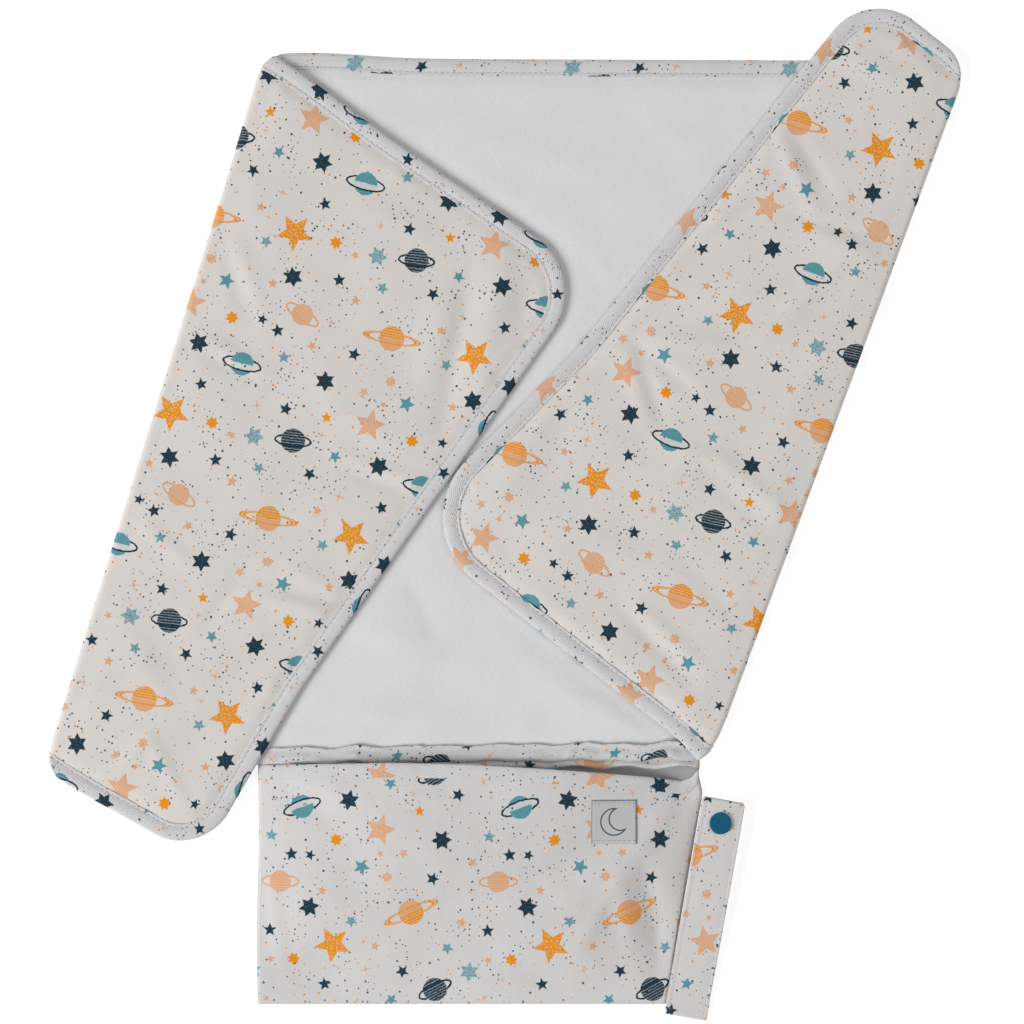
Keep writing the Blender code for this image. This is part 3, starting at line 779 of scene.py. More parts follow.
def cut_cloth(outline, spacing, turn_columns=()):
    """Points and triangles over a flat outline, with finer columns where the cloth turns."""
    low, high = outline.min(axis=0), outline.max(axis=0)
    grid = []
    rows = np.arange(low[1], high[1], spacing * 0.866)
    for index, y in enumerate(rows):
        offset = spacing * 0.5 * (index % 2)
        for x in np.arange(low[0] + offset, high[0], spacing):
            grid.append((x, y))
    grid = np.array(grid)
    if len(turn_columns):
        first, last = turn_columns[0], turn_columns[-1]
        margin = spacing * 0.4
        grid = grid[(grid[:, 0] < first - margin) | (grid[:, 0] > last + margin)]
        along = np.arange(low[1], high[1], spacing)
        columns = [(x, y) for x in turn_columns for y in along]
        grid = np.vstack((grid, columns))
    grid = grid[inside(grid, outline)]
    closed = np.vstack((outline, outline[:1]))
    clearance = np.minimum(spacing * 0.55, 1.6)
    grid = grid[distance_to(grid, closed) > clearance]
    points = [Vector(point) for point in np.vstack((outline, grid))]
    edge = list(range(len(outline)))
    border = [(index, (index + 1) % len(outline)) for index in edge]
    flat, _, faces, _, _, _ = delaunay_2d_cdt(points, border, [edge], 1, 1e-6)
    return np.array([(point.x, point.y) for point in flat]), [tuple(face) for face in faces]


# Mat and wings


class Side:
    """One side of the mat: its fold and its wing."""

    def __init__(self, name, fold, corners, away, wrinkles, drawn):
        self.name = name
        self.fold = fold
        self.upper = np.array(fold[0])
        run = np.array(fold[1]) - self.upper
        self.length = np.linalg.norm(run)
        self.along = run / self.length
        self.out = away * np.array((self.along[1], -self.along[0]))
        self.corners = corners
        self.wrinkles = wrinkles
        self.drawn = drawn
        self.edge = outline_run(corners, [0.0] * 5, 0, 4, 6.0)
        self.body = name + "_wing"

    def flat_of(self, points, turned):
        """Where plan points lie on the flat cloth: across the fold and along it."""
        from_fold = (points - self.upper) @ self.out
        along = (points - self.upper) @ self.along
        across = COVER_TURN - from_fold if turned else from_fold
        return np.column_stack((across, along))

    def plan_of(self, flat):
        """Where places on the flat cloth lie in plan, once folded."""
        angle = np.clip(flat[:, 0] / COVER_TURN, 0.0, 1.0) * pi
        out = np.minimum(flat[:, 0], 0.0) - np.maximum(flat[:, 0] - COVER_TURN, 0.0)
        plan = self.upper + np.outer(flat[:, 1], self.along) + np.outer(out, self.out)
        return plan, angle

    def lay(self, flat, height, lift):
        """Where a layer's points go when the cloth turns round the fold."""
        plan, angle = self.plan_of(flat)
        radius = HINGE_HEIGHT - height
        plan = plan + (radius * np.sin(angle))[:, None] * self.out
        return np.column_stack((plan, HINGE_HEIGHT - radius * np.cos(angle) + lift))

    def print_place(self, flat):
        """Where places on the flat cloth lie in the print."""
        opened = self.upper + np.outer(flat[:, 1], self.along) + np.outer(flat[:, 0], self.out)
        drawn = smooth(flat[:, 0], -150.0, 0.0)[:, None] * np.array(self.drawn)
        return np.column_stack((-opened[:, 0], opened[:, 1])) - PRINT_ORIGIN - drawn

    def relief(self, plan, from_edge):
        """How far the wing's upper surface stands over its resting height."""
        from_fold = -((plan - self.upper) @ self.out)
        fade = smooth(from_fold, 1.0, 14.0) * smooth(from_edge, 8.5, 16.0)
        soft = waves(plan, 46.0, 3.1) * 0.55 + waves(plan, 21.0, 7.7) * 0.16
        folds = creases(plan, self.wrinkles)
        pucker = waves(plan, 6.5, 1.3) * 0.35 * np.exp(-((from_edge - 11.5) / 4.5) ** 2)
        crown = smooth(from_edge, 8.0, 60.0) * 0.8
        return fade * (0.5 + soft + folds + crown * 0.4) + pucker * smooth(from_fold, 2.0, 8.0)


# Creases: a line's start and end in plan, its width and its height.
LEFT_WRINKLES = (
    (-2, 146, -16.6, 69, 9, 1.7), (-21, 136, -37, 46, 5, -1.1), (-33, 128, -50, 60, 8, 0.8),
    (12, 128, 6, 96, 6, -0.8), (-165, 160, -145, 108, 4.5, -0.8), (-158, 160, -136, 112, 5, 0.6),
    (-176, 101, -138, 80, 4, 0.9), (-175, 92, -146, 76, 3.5, -0.7), (-120, 100, -60, 128, 9, 0.5),
    (-97, 33, -42, 15, 4, 0.9), (-92, 24, -46, 8, 3.5, -0.8), (-100, 60, -60, 38, 6, 0.5),
    (-146, -30, -170, -64, 4.5, -1), (-142, -48, -92, -57, 4.5, 1.1),
    (-124, -31, -94, -44, 4, 0.8), (-136, -40, -98, -50, 3, -0.7),
    (-192, -100, -138, -70, 6, 0.8), (-196, -82, -150, -60, 5, -0.6),
    (-219, -142, -201, -127, 4, 0.9), (-201, -127, -184, -160, 4, 0.9),
    (-208, -4, -180, -28, 4.5, 0.8), (-214, -60, -190, -120, 8, 0.6),
    (-150, 200, -118, 222, 5, 0.6), (-90, 180, -40, 150, 7, 0.6),
)
RIGHT_WRINKLES = (
    (72, 96, 104, 68, 3.8, -1.1), (66, 90, 78, 52, 4, 0.9), (74, 92, 88, 50, 3.2, -0.8),
    (80, 100, 130, 92, 4.5, 0.9), (152, 214, 172, 172, 4.5, 1.4), (162, 214, 182, 180, 3.6, -0.9),
    (158, 169, 224, 150, 4, -0.9), (170, 160, 230, 132, 5, 0.8), (140, 96, 190, 142, 5.5, 1.1),
    (120, 104, 176, 118, 4, -0.9), (108, 116, 150, 134, 5, 0.8), (86, 39, 120, 30, 5, 1),
    (120, 30, 162, -5, 4.5, 1), (112, 20, 150, -12, 5, -0.7), (62, -52, 104, -96, 4.2, -1.1),
    (74, -54, 112, -88, 4.6, 1.1), (22, 66, -6, 6, 8, 1), (36, 56, 16, 4, 6, -0.6),
    (96, 142, 142, 174, 4.5, -0.8), (100, 152, 140, 184, 5, 0.8), (186, 262, 226, 240, 7, 0.8),
    (208, 230, 214, 190, 6, -0.6), (150, 40, 176, 88, 8, 0.7), (40, -10, 90, -36, 8, 0.6),
    (96, -20, 130, -60, 7, -0.6),
)
LINING_WRINKLES = (
    (-20, 215, 60, 190, 9, 0.6), (70, 235, 120, 190, 10, 0.5), (40, 160, 70, 120, 8, 0.5),
    (-90, -60, -20, -90, 9, 0.6), (-110, -110, -30, -118, 6, 0.6), (0, -70, 50, -120, 8, 0.6),
    (30, -100, 90, -128, 5, 0.7), (-60, -30, -40, -70, 6, -0.5),
)

left = Side("left", LEFT_FOLD, LEFT_CORNERS, 1.0, LEFT_WRINKLES, (0.0, 0.0))
right = Side("right", RIGHT_FOLD, RIGHT_CORNERS, -1.0, RIGHT_WRINKLES, (10.0, -4.0))
MAT_EDGES = (
    outline_run(MAT_CORNERS, [0.0] * 4, 0, 1, 8.0),
    outline_run(MAT_CORNERS, [0.0] * 4, 2, 3, 8.0),
)


def rounded_ends():
    """The plan corners at the four fold ends, with the inward normals of their two edges."""
    ends = []
    for side, index, edge, radius in (
        (left, 0, MAT_CORNERS[1], 12.0), (left, 4, LEFT_CORNERS[3], 11.0),
        (right, 0, RIGHT_CORNERS[1], 15.0), (right, 4, MAT_CORNERS[3], 9.0),
    ):
        end = np.array(side.corners[index][:2])
        run = np.array(edge[:2]) - end
        run /= np.linalg.norm(run)
        corner = line_cross(end + side.out * HINGE_HEIGHT, side.along, end, run)
        across = np.array((-run[1], run[0]))
        across *= np.sign(across @ side.along) * (1.0 if index == 0 else -1.0)
        ends.append((corner, np.array((-side.out, across)), radius))
    return ends


ROUNDED_ENDS = rounded_ends()


def from_free_edges(side, flat):
    """Each flat place's distance from the mat's or the wing's free edge."""
    plan, _ = side.plan_of(flat)
    over_mat = np.minimum(*[distance_to(plan, edge) for edge in MAT_EDGES])
    over_wing = distance_to(plan, side.edge)
    return np.where(flat[:, 0] < COVER_TURN / 2.0, over_mat, over_wing), plan


def layer_height(layer, from_edge):
    """A layer's middle height, which changes where the binding takes it in."""
    return layer[0] + (layer[1] - layer[0]) * (1.0 - smooth(from_edge, RIM_FROM, RIM_TO))


def faces_of(layer):
    """How far a layer's two faces lie from its middle."""
    return -layer[2] / 2.0, layer[2] / 2.0


def half_mat_run(side, inset, spacing):
    """The plan outline of half the mat, from its fold's lower end round to its upper end."""
    corners = [side.fold[1], BOTTOM_MIDDLE, TOP_MIDDLE, side.fold[0]]
    return outline_run(corners, [inset, 0.0, inset, 0.0], 0, 3, spacing)


def add_cover(side):
    """Half the back and one wing as one sheet of printed cloth."""
    spacing = 3.0
    back = side.flat_of(half_mat_run(side, CLOTH_INSET, spacing), False)
    insets = [CLOTH_INSET] * 4 + [0.0]
    wing = side.flat_of(outline_run(side.corners, insets, 0, 4, spacing), True)
    columns = np.linspace(0.0, COVER_TURN, 11)
    upper_turn = [(x, back[-1][1]) for x in columns[1:-1]]
    lower_turn = [(x, back[0][1]) for x in columns[-2:0:-1]]
    outline = np.vstack((back, upper_turn, wing, lower_turn))
    flat, triangles = cut_cloth(outline, spacing, columns)
    from_edge, plan = from_free_edges(side, flat)
    height = layer_height(COVER, from_edge)
    lift = np.where(flat[:, 0] > COVER_TURN, side.relief(plan, from_edge), 0.0)
    surfaces = [
        soften_corners(side.lay(flat, height + offset, lift)) for offset in faces_of(COVER)
    ]
    name = side.name + "_cover_cloth"
    item = shell(name, *surfaces, triangles, side.print_place(flat), [cover_finish])
    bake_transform(item)
    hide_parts(side.body + "_cover", "mat_back_cover")


def add_panel(name, outline, edges, layer, spacing, place, lift, finish):
    """A flat layer of the mat or of a wing, with crisp cut edges."""
    flat, triangles = cut_cloth(outline, spacing)
    from_edge = np.minimum.reduce([distance_to(flat, edge) for edge in edges])
    height = layer_height(layer, from_edge)
    rise = lift(flat, from_edge)
    surfaces = [
        soften_corners(np.column_stack((flat, place(height + offset) + rise)))
        for offset in faces_of(layer)
    ]
    item = shell(name, *surfaces, triangles, flat, [finish])
    item.data.set_sharp_from_angle(angle=SHARP_ANGLE)
    return item


def as_laid(height):
    return height


def turned_over(height):
    return TOP_OF_STACK - height


def lining_lift(plan, from_edge):
    """Soft waves in the mat's lining, only where no wing presses on it."""
    free = np.ones(len(plan))
    for side in (left, right):
        outline = np.array(side.edge)
        away = np.where(inside(plan, outline), 0.0, distance_to(plan, side.edge))
        free *= smooth(away, 1.0, 12.0)
    soft = waves(plan, 40.0, 9.0) * 0.5 + 0.5 + creases(plan, LINING_WRINKLES)
    return free * smooth(from_edge, 8.0, 16.0) * soft


def no_lift(plan, from_edge):
    return np.zeros(len(plan))


def add_linings():
    outline = outline_run(MAT_CORNERS, [CLOTH_INSET, 0, CLOTH_INSET, 0], 0, 4, 4.0)[:-1]
    item = add_panel(
        "mat_lining_cloth", outline, MAT_EDGES, LINING, 3.6, as_laid, lining_lift, lining_finish
    )
    belongs(item, "mat", "lining", "mat_lining")
    for side in (left, right):
        insets = [CLOTH_INSET] * 4 + [0.0]
        outline = outline_run(side.corners, insets, 0, 5, 4.0)[:-1]
        item = add_panel(
            side.name + "_lining_cloth", outline, [side.edge], LINING, 5.0, turned_over, no_lift,
            lining_finish,
        )
        belongs(item, side.body, "lining", side.body + "_lining")


WADDING = (1.6, 1.6, 1.3)


def add_wadding():
    """The pads between cover and lining."""
    inset = BINDING_WIDTH + 5.0
    parts = [("mat", MAT_CORNERS, [inset, 1.0, inset, 1.0], as_laid)]
    for side in (left, right):
        parts.append((side.body, side.corners, [inset] * 4 + [1.0], turned_over))
    for body, corners, insets, place in parts:
        outline = outline_run(corners, insets, 0, len(corners), 6.0)[:-1]
        closed = np.vstack((outline, outline[:1]))
        item = add_panel(
            body + "_wadding", outline, [closed], WADDING, 7.0, place, no_lift, wadding_finish
        )
        belongs(item, body, "padding", body + "_padding")


# Bindings

# Half of the tape's section, outside: how far in from the edge, and height over its face.
TAPE_OUTSIDE = (
    (9.6, 0.62), (9.5, 0.34), (9.1, 0.22), (8.5, 0.26), (8.05, 0.42), (7.7, 0.46), (7.35, 0.38),
    (6.4, 0.04), (4.6, -0.16), (2.6, -0.12), (1.1, 0.12), (0.35, 0.62), (0.0, 1.25),
)


def tape_section():
    """The tape's section folded over the edge, outside then inside: inset and height."""
    outside = list(TAPE_OUTSIDE) + [(-0.05, MAT_THICKNESS / 2.0)]
    outside += [(inset, MAT_THICKNESS - height) for inset, height in reversed(TAPE_OUTSIDE)]
    inner = [(9.5, 0.74), (7.7, 0.88), (4.6, 0.55), (1.8, 0.75), (0.8, 1.2)]
    inside_run = [(inset, MAT_THICKNESS - height) for inset, height in inner]
    inside_run += [(0.6, MAT_THICKNESS / 2.0)] + inner[::-1]
    return outside + inside_run


def path_length(path):
    steps = np.linalg.norm(np.diff(path, axis=0), axis=1)
    return np.concatenate(((0.0,), np.cumsum(steps)))


def tape_rows(corners, first, last, spacing):
    """Plan points of every line of the section, along the binding."""
    section = tape_section()
    rows = []
    for inset, _ in section:
        insets = [inset if first <= index < last else 0.0 for index in range(len(corners))]
        rows.append(outline_run(corners, insets, first, last, spacing))
    return section, np.array(rows)


def tape_puckers(length, section, seed):
    """Small uneven lumps between the stitches, along the tape and across its section."""
    lumps = np.zeros((len(length), len(section)))
    for index, (inset, height) in enumerate(section):
        weight = smooth(abs(inset - 7.7), 0.3, 1.6) * (1.0 if inset < 8.6 else 0.8)
        face = 1.0 if height < MAT_THICKNESS / 2.0 else -1.0
        for row, distance in enumerate(length):
            ripple = noise.noise(Vector((distance / 2.6, inset / 7.0, seed)))
            swell = noise.noise(Vector((distance / 14.0, seed, face * 3.0)))
            lumps[row, index] = weight * (0.16 * ripple + 0.22 * swell) * face
    return lumps


def add_tape(name, corners, first, last, place, turns, seed, ruffle=None):
    """The binding along one free path, with a quarter turn down to each fold."""
    spacing = 1.5
    section, rows = tape_rows(corners, first, last, spacing)
    middle = len(TAPE_OUTSIDE)
    length = path_length(rows[middle])
    lumps = tape_puckers(length, section, seed)
    heights = np.array([height for _, height in section])
    around = path_length(np.array(section))
    sections = []
    places = []
    for row in range(rows.shape[1]):
        plan = rows[:, row, :]
        level = place(heights - lumps[row])
        if ruffle is not None:
            plan, level = ruffle(plan, level, length[row], np.array(section))
        sections.append(np.column_stack((plan, level)))
        places.append(np.column_stack((np.full(len(section), length[row]), around)))
    for side, at_start in turns:
        extra, extra_places = quarter_turn(
            side, sections[0 if at_start else -1], places[0 if at_start else -1], at_start
        )
        if at_start:
            sections = extra[::-1] + sections
            places = extra_places[::-1] + places
        else:
            sections = sections + extra
            places = places + extra_places
    offset = np.array((seed * 41.0, seed * 17.0))
    places = [row + offset for row in places]
    sections = [soften_corners(section) for section in sections]
    for section in sections:
        section[:, 2] = np.maximum(section[:, 2], 0.02)
    return sweep(name, sections, places, [binding_finish])


def quarter_turn(side, section, places, at_start):
    """Sections that carry the tape from a fold line round to the middle of its turn."""
    from_hinge = section[:, 2] - HINGE_HEIGHT
    base = section[:, :2]
    sections = []
    flats = []
    steps = 6
    for step in range(1, steps + 1):
        angle = pi / 2.0 * step / steps
        out = np.abs(from_hinge) * sin(angle)
        plan = base + np.outer(out, side.out)
        level = HINGE_HEIGHT + from_hinge * cos(angle)
        sections.append(np.column_stack((plan, level)))
        moved = places.copy()
        moved[:, 0] += (-1.0 if at_start else 1.0) * 1.85 * angle
        flats.append(moved)
    return sections, flats


def bottom_ruffle(plan, level, at, section):
    """Gathers the mat's bottom binding, which is drawn in along the pouch."""
    x = plan[:, 0].mean()
    share = smooth(x, -150.0, -120.0) * (1.0 - smooth(x, 96.0, 110.0))
    depth = section[:, 0]
    curl = noise.noise(Vector((at / 16.0, 2.0, 0.0))) * 1.5
    small = noise.noise(Vector((at / 4.2, 5.0, 0.0)))
    tiny = noise.noise(Vector((at / 2.0, 9.0, 0.0)))
    share = share * (1.0 + 0.7 * smooth(x, 40.0, 95.0))
    moved = plan + (0.0, (curl * 1.4 + small * 0.6) * share)
    roll = np.cos((depth - 3.0) / 9.0 * pi) ** 2
    lift = share * (1.6 + curl * 1.3 + small * 0.9 + tiny * 0.5) * roll
    lift += share * 1.1 * np.cos((depth - 8.4) / 3.0 * pi * 0.5).clip(0.0) * (depth > 6.0)
    return moved, level + lift


def stitch_tree():
    """Stitches along a curve: one short rounded thread at every pitch."""
    tree = bpy.data.node_groups.new("stitches", "GeometryNodeTree")
    for name, kind in (
        ("Geometry", "Geometry"), ("Pitch", "Float"), ("Stitch", "Float"), ("Thread", "Float"),
        ("Material", "Material"),
    ):
        tree.interface.new_socket(name, in_out="INPUT", socket_type="NodeSocket" + kind)
    tree.interface.new_socket("Geometry", in_out="OUTPUT", socket_type="NodeSocketGeometry")
    nodes = {
        name: tree.nodes.new(kind) for name, kind in (
            ("given", "NodeGroupInput"), ("result", "NodeGroupOutput"),
            ("spaced", "GeometryNodeResampleCurve"), ("thread", "GeometryNodeMeshUVSphere"),
            ("size", "ShaderNodeCombineXYZ"), ("shaped", "GeometryNodeTransform"),
            ("tangent", "GeometryNodeInputTangent"), ("turned", "FunctionNodeAlignEulerToVector"),
            ("placed", "GeometryNodeInstanceOnPoints"), ("real", "GeometryNodeRealizeInstances"),
            ("coloured", "GeometryNodeSetMaterial"),
        )
    }
    nodes["spaced"].mode = "LENGTH"
    nodes["turned"].axis = "X"
    for socket, value in (("Segments", 8), ("Rings", 5), ("Radius", 0.5)):
        nodes["thread"].inputs[socket].default_value = value
    for start, output, end, socket in (
        ("given", "Geometry", "spaced", "Curve"), ("given", "Pitch", "spaced", "Length"),
        ("given", "Stitch", "size", 0), ("given", "Thread", "size", 1),
        ("given", "Thread", "size", 2), ("thread", "Mesh", "shaped", "Geometry"),
        ("size", 0, "shaped", "Scale"), ("tangent", 0, "turned", "Vector"),
        ("spaced", "Curve", "placed", "Points"), ("shaped", "Geometry", "placed", "Instance"),
        ("turned", "Rotation", "placed", "Rotation"), ("placed", "Instances", "real", "Geometry"),
        ("real", "Geometry", "coloured", "Geometry"), ("given", "Material", "coloured", "Material"),
        ("coloured", "Geometry", "result", "Geometry"),
    ):
        tree.links.new(nodes[start].outputs[output], nodes[end].inputs[socket])
    return tree


STITCHES = stitch_tree()


def add_stitches(name, paths, kind, body, finish=thread_finish):
    """Rows of stitches along paths of millimetre points, as one plain mesh."""
    curve = bpy.data.curves.new(name + "_paths", "CURVE")
    curve.dimensions = "3D"
    for path in paths:
        spline = curve.splines.new("POLY")
        spline.points.add(len(path) - 1)
        for point, place in zip(spline.points, soften_corners(path)):
            point.co = (*(value * MM for value in place), 1.0)
    rows = put(name + "_rows", curve)
    modifier = rows.modifiers.new("stitches", "NODES")
    modifier.node_group = STITCHES
    values = dict(zip(("Pitch", "Stitch", "Thread"), (size * MM for size in kind)))
    values["Material"] = finish
    for socket in STITCHES.interface.items_tree:
        if socket.in_out == "INPUT" and socket.name in values:
            modifier[socket.identifier] = values[socket.name]
    bpy.context.view_layer.update()
    ready = rows.evaluated_get(bpy.context.evaluated_depsgraph_get())
    mesh = bpy.data.meshes.new_from_object(ready)
    mesh.name = name
    bpy.data.objects.remove(rows, do_unlink=True)
    item = put(name, mesh)
    mesh.polygons.foreach_set("use_smooth", [True] * len(mesh.polygons))
    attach(item, body)


def declare_tape(item, body, node):
    belongs(item, body, "binding", node)


def seam_rows(path, upper, lower):
    """A binding's seam on both of its faces."""
    return [[(x, y, level) for x, y in path] for level in (upper - SEAM_DEPTH, lower + SEAM_DEPTH)]


def add_mat_bindings():
    """Bindings of the mat's two free edges and of both wings, with their stitching."""
    top = add_tape("mat_top_tape", MAT_CORNERS, 0, 1, as_laid, ((left, True), (right, False)), 1.0)
    bottom = add_tape(
        "mat_bottom_tape", MAT_CORNERS, 2, 3, as_laid, ((right, True), (left, False)), 2.0,
        bottom_ruffle,
    )
    for item, node in ((top, "mat_top_binding"), (bottom, "mat_bottom_binding")):
        declare_tape(item, "mat", node)
    path = outline_run(MAT_CORNERS, [SEAM_INSET, 0, SEAM_INSET, 0], 0, 1, 6.0)
    add_stitches("mat_top_stitches", seam_rows(path, MAT_THICKNESS, 0.0), EDGE_STITCH, "mat")
    for side, seed in ((left, 3.0), (right, 4.0)):
        turns = ((side, True), (side, False))
        item = add_tape(side.body + "_tape", side.corners, 0, 4, turned_over, turns, seed)
        declare_tape(item, side.body, side.body + "_binding")
        path = outline_run(side.corners, [SEAM_INSET] * 4 + [0.0], 0, 4, 4.0)
        rows = seam_rows(path, TOP_OF_STACK, TOP_OF_STACK - MAT_THICKNESS)
        add_stitches(side.body + "_stitches", rows, EDGE_STITCH, side.body)


# Pouch


def pouch_sides(depth):
    left_top, right_top, right_bottom, left_bottom = (corner[0] for corner in POUCH)
    left_edge = left_top + (left_bottom - left_top) * depth - 2.2 * smooth(depth, 0.25, 0.75)
    right_edge = right_top + (right_bottom - right_top) * depth
    return left_edge, right_edge + smooth(depth, 0.02, 0.13) * (4.4 - 2.7 * depth)


POUCH_WRINKLES = (
    (-125, -262, -40, -226, 13, -2.6), (-40, -226, 30, -206, 13, -2.6),
    (20, -208, 66, -176, 12, -2.4), (-110, -225, 0, -196, 16, 1.2),
    (-20, -252, 60, -226, 12, 1.4), (-128, -160, -96, -172, 7, -1.2),
    (-118, -150, -84, -160, 6, 1), (76, -196, 88, -256, 7, -1.6), (62, -200, 70, -250, 6, 1),
    (92, -160, 70, -200, 6, 1), (40, -246, 62, -206, 5, 0.9), (-60, -158, -20, -164, 8, 0.8),
    (-136, -200, -128, -250, 5, 0.7), (-90, -268, 10, -266, 5, 0.8),
)


def front_height(plan):
    """The height of the front's cloth over plan points, before its creases."""
    depth = np.clip((POUCH[0][1] - plan[:, 1]) / POUCH_DEPTH, 0.0, 1.0)
    left_edge, right_edge = pouch_sides(depth)
    across = np.clip(2.0 * (plan[:, 0] - left_edge) / (right_edge - left_edge) - 1.0, -1.0, 1.0)
    seam_lift = np.maximum(0.0, 1.0 - (POUCH[0][1] - plan[:, 1]) / MOUTH_SEAM_REACH)
    seam = SEAM_HEIGHT + (MOUTH_SEAM_HEIGHT - SEAM_HEIGHT) * seam_lift
    return seam + MOUTH_BULGE * (1.0 - np.abs(across) ** 3) * (1.0 - depth ** 3)


def front_relief(plan):
    """Creases and waves of the front, which die out at its seams."""
    depth = np.clip((POUCH[0][1] - plan[:, 1]) / POUCH_DEPTH, 0.0, 1.0)
    left_edge, right_edge = pouch_sides(depth)
    from_side = np.minimum(plan[:, 0] - left_edge, right_edge - plan[:, 0])
    from_bottom = POUCH_DEPTH * (1.0 - depth)
    fade = smooth(from_side, 0.0, 12.0) * smooth(from_bottom, 0.0, 14.0)
    soft = waves(plan, 34.0, 5.5) * 0.8 + waves(plan, 13.0, 2.5) * 0.15
    return fade * (soft + creases(plan, POUCH_WRINKLES))


def mouth_sag(x):
    """How far the mouth's edge lies off its straight line, along the mat's bottom edge."""
    knots = ((-142, 0.5), (-110, 1.5), (-66, 2.6), (-20, 1.6), (20, -0.8), (51, -3.2),
             (80, -6.0), (98, -8.6), (104, -6.5), (109, -0.5))
    return np.interp(x, [k[0] for k in knots], [k[1] for k in knots])


def front_point(column, back, offset=0.0):
    """Points of the front at shares across it and distances back from its mouth."""
    depth = back / POUCH_DEPTH
    left_edge, right_edge = pouch_sides(depth)
    x = left_edge + (right_edge - left_edge) * column
    y = POUCH[0][1] - back
    plan = np.column_stack((x, y))
    level = front_height(plan) + front_relief(plan)
    sag = mouth_sag(x) * (1.0 - smooth(back, 0.0, 46.0))
    level = level - np.maximum(-sag, 0.0) * 0.25
    return np.column_stack((x, y + sag, level + offset))


PRINT_ON_POUCH = (-54.4, -225.0)


def pouch_print(points):
    """Where plan points lie in the print, which is upside down on the pouch."""
    return np.array(PRINT_ON_POUCH) - points[:, :2]


def grid_faces(rows, columns):
    firsts = [row * columns + column for row in range(rows - 1) for column in range(columns - 1)]
    return [(first, first + 1, first + columns + 1, first + columns) for first in firsts]


def add_pouch():
    rows, columns = 76, 132
    back = np.linspace(0.9, POUCH_DEPTH - 0.6, rows)
    share = np.linspace(0.002, 0.998, columns)
    column, depth = np.meshgrid(share, back)
    column, depth = column.ravel(), depth.ravel()
    upper = front_point(column, depth, 0.25)
    lower = front_point(column, depth, -0.25)
    flat = np.column_stack((column * 240.0, -depth))
    # The front's inner face takes the dark reverse grey, painted shade inside the pouch.
    front = shell(
        "pouch_front_cloth", upper, lower, grid_faces(rows, columns), pouch_print(upper),
        [pouch_finish, reverse_shade_finish], (0, 1, 0),
    )
    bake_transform(front)
    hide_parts("pouch_front_panel")
    add_pouch_back()
    add_mouth_hem()
    add_label()


def add_pouch_back():
    """The back, which tucks under the mat's bottom binding."""
    rows, columns = 84, 120
    top = -137.0
    near_mouth = np.linspace(0.0, 0.1, 34, endpoint=False)
    down = np.concatenate((near_mouth, np.linspace(0.1, 1.0, rows - len(near_mouth))))
    share, depth = np.meshgrid(np.linspace(0.0, 1.0, columns), down)
    share, depth = share.ravel(), depth.ravel()
    y = top + (POUCH[2][1] + 0.3 - top) * depth
    inside_depth = np.clip((POUCH[0][1] - y) / POUCH_DEPTH, 0.0, 1.0)
    left_edge, right_edge = pouch_sides(inside_depth)
    x = left_edge + 0.3 + (right_edge - left_edge - 0.6) * share
    level = np.full(len(x), 0.45) + 0.25 * (waves(np.column_stack((x, y)), 30.0, 8.0) + 1.0)
    level[depth > 0.97] = 0.6
    gather = waves(np.column_stack((x, y * 0.0)), 15.0, 6.0)
    fine = waves(np.column_stack((x, y * 0.0)), 4.5, 4.0)
    roll = np.exp(-((y + 142.6 - gather * 0.9) / 2.0) ** 2)
    level += roll * (2.3 + gather * 0.8 + fine * 0.5) * smooth(share, 0.0, 0.04)
    level += roll * -2.0 * smooth(share, 0.96, 1.0)
    upper = np.column_stack((x, y, level + 0.3))
    lower = np.column_stack((x, y, level - 0.2))
    item = shell(
        "pouch_back_cloth", upper, lower, grid_faces(rows, columns),
        np.column_stack((-x, y)), [reverse_shade_finish, pouch_finish], (0, 1, 1),
    )
    # Below a wavy line the back's inside keeps the dark reverse grey, which paints the shadowed
    # slit of the mouth; above it the printed cloth of the roll shows.
    for face in item.data.polygons:
        x, y, _ = face.center / MM
        if y > -143.7 + 1.9 * noise.noise(Vector((x / 15.0, 0.0, 6.0))):
            face.material_index = 1
    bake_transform(item)
    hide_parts("pouch_back_panel")


HEM_SECTION = (
    (8.0, 0.55), (7.7, 0.72), (7.0, 0.78), (5.0, 0.90), (2.5, 0.92), (0.8, 0.75), (0.1, 0.4),
    (-0.1, 0.0), (0.1, -0.4), (0.8, -0.75), (4.0, -0.85), (8.0, -0.6), (8.0, -0.32),
    (4.0, -0.40), (1.0, -0.32), (0.6, 0.0), (1.0, 0.32), (4.0, 0.36), (8.0, 0.32),
)


def add_mouth_hem():
    """The turned hem along the mouth, soft and a little rolled."""
    shares = np.linspace(0.003, 0.997, 170)
    sections = []
    places = []
    around = path_length(np.array(HEM_SECTION))
    back, offset = np.array(HEM_SECTION).T
    for share in shares:
        column = np.full(len(HEM_SECTION), share)
        lump = noise.noise(Vector((share * 30.0, 4.0, 1.0))) * 0.25
        points = front_point(column, np.maximum(back, 0.0), offset * (1.0 + lump))
        points[:, 1] -= np.minimum(back, 0.0)
        sections.append(points)
        places.append(pouch_print(points) + (0.0, 30.0))
    item = sweep("pouch_mouth_hem", sections, places, [binding_finish])
    belongs(item, "pouch_front", "binding", "pouch_mouth_binding")


def on_front(plan, offset=0.0):
    """Points of the front under plan points."""
    depth = POUCH[0][1] - plan[:, 1]
    left_edge, right_edge = pouch_sides(depth / POUCH_DEPTH)
    points = front_point((plan[:, 0] - left_edge) / (right_edge - left_edge), depth, offset)
    points[:, 1] = plan[:, 1]
    return points


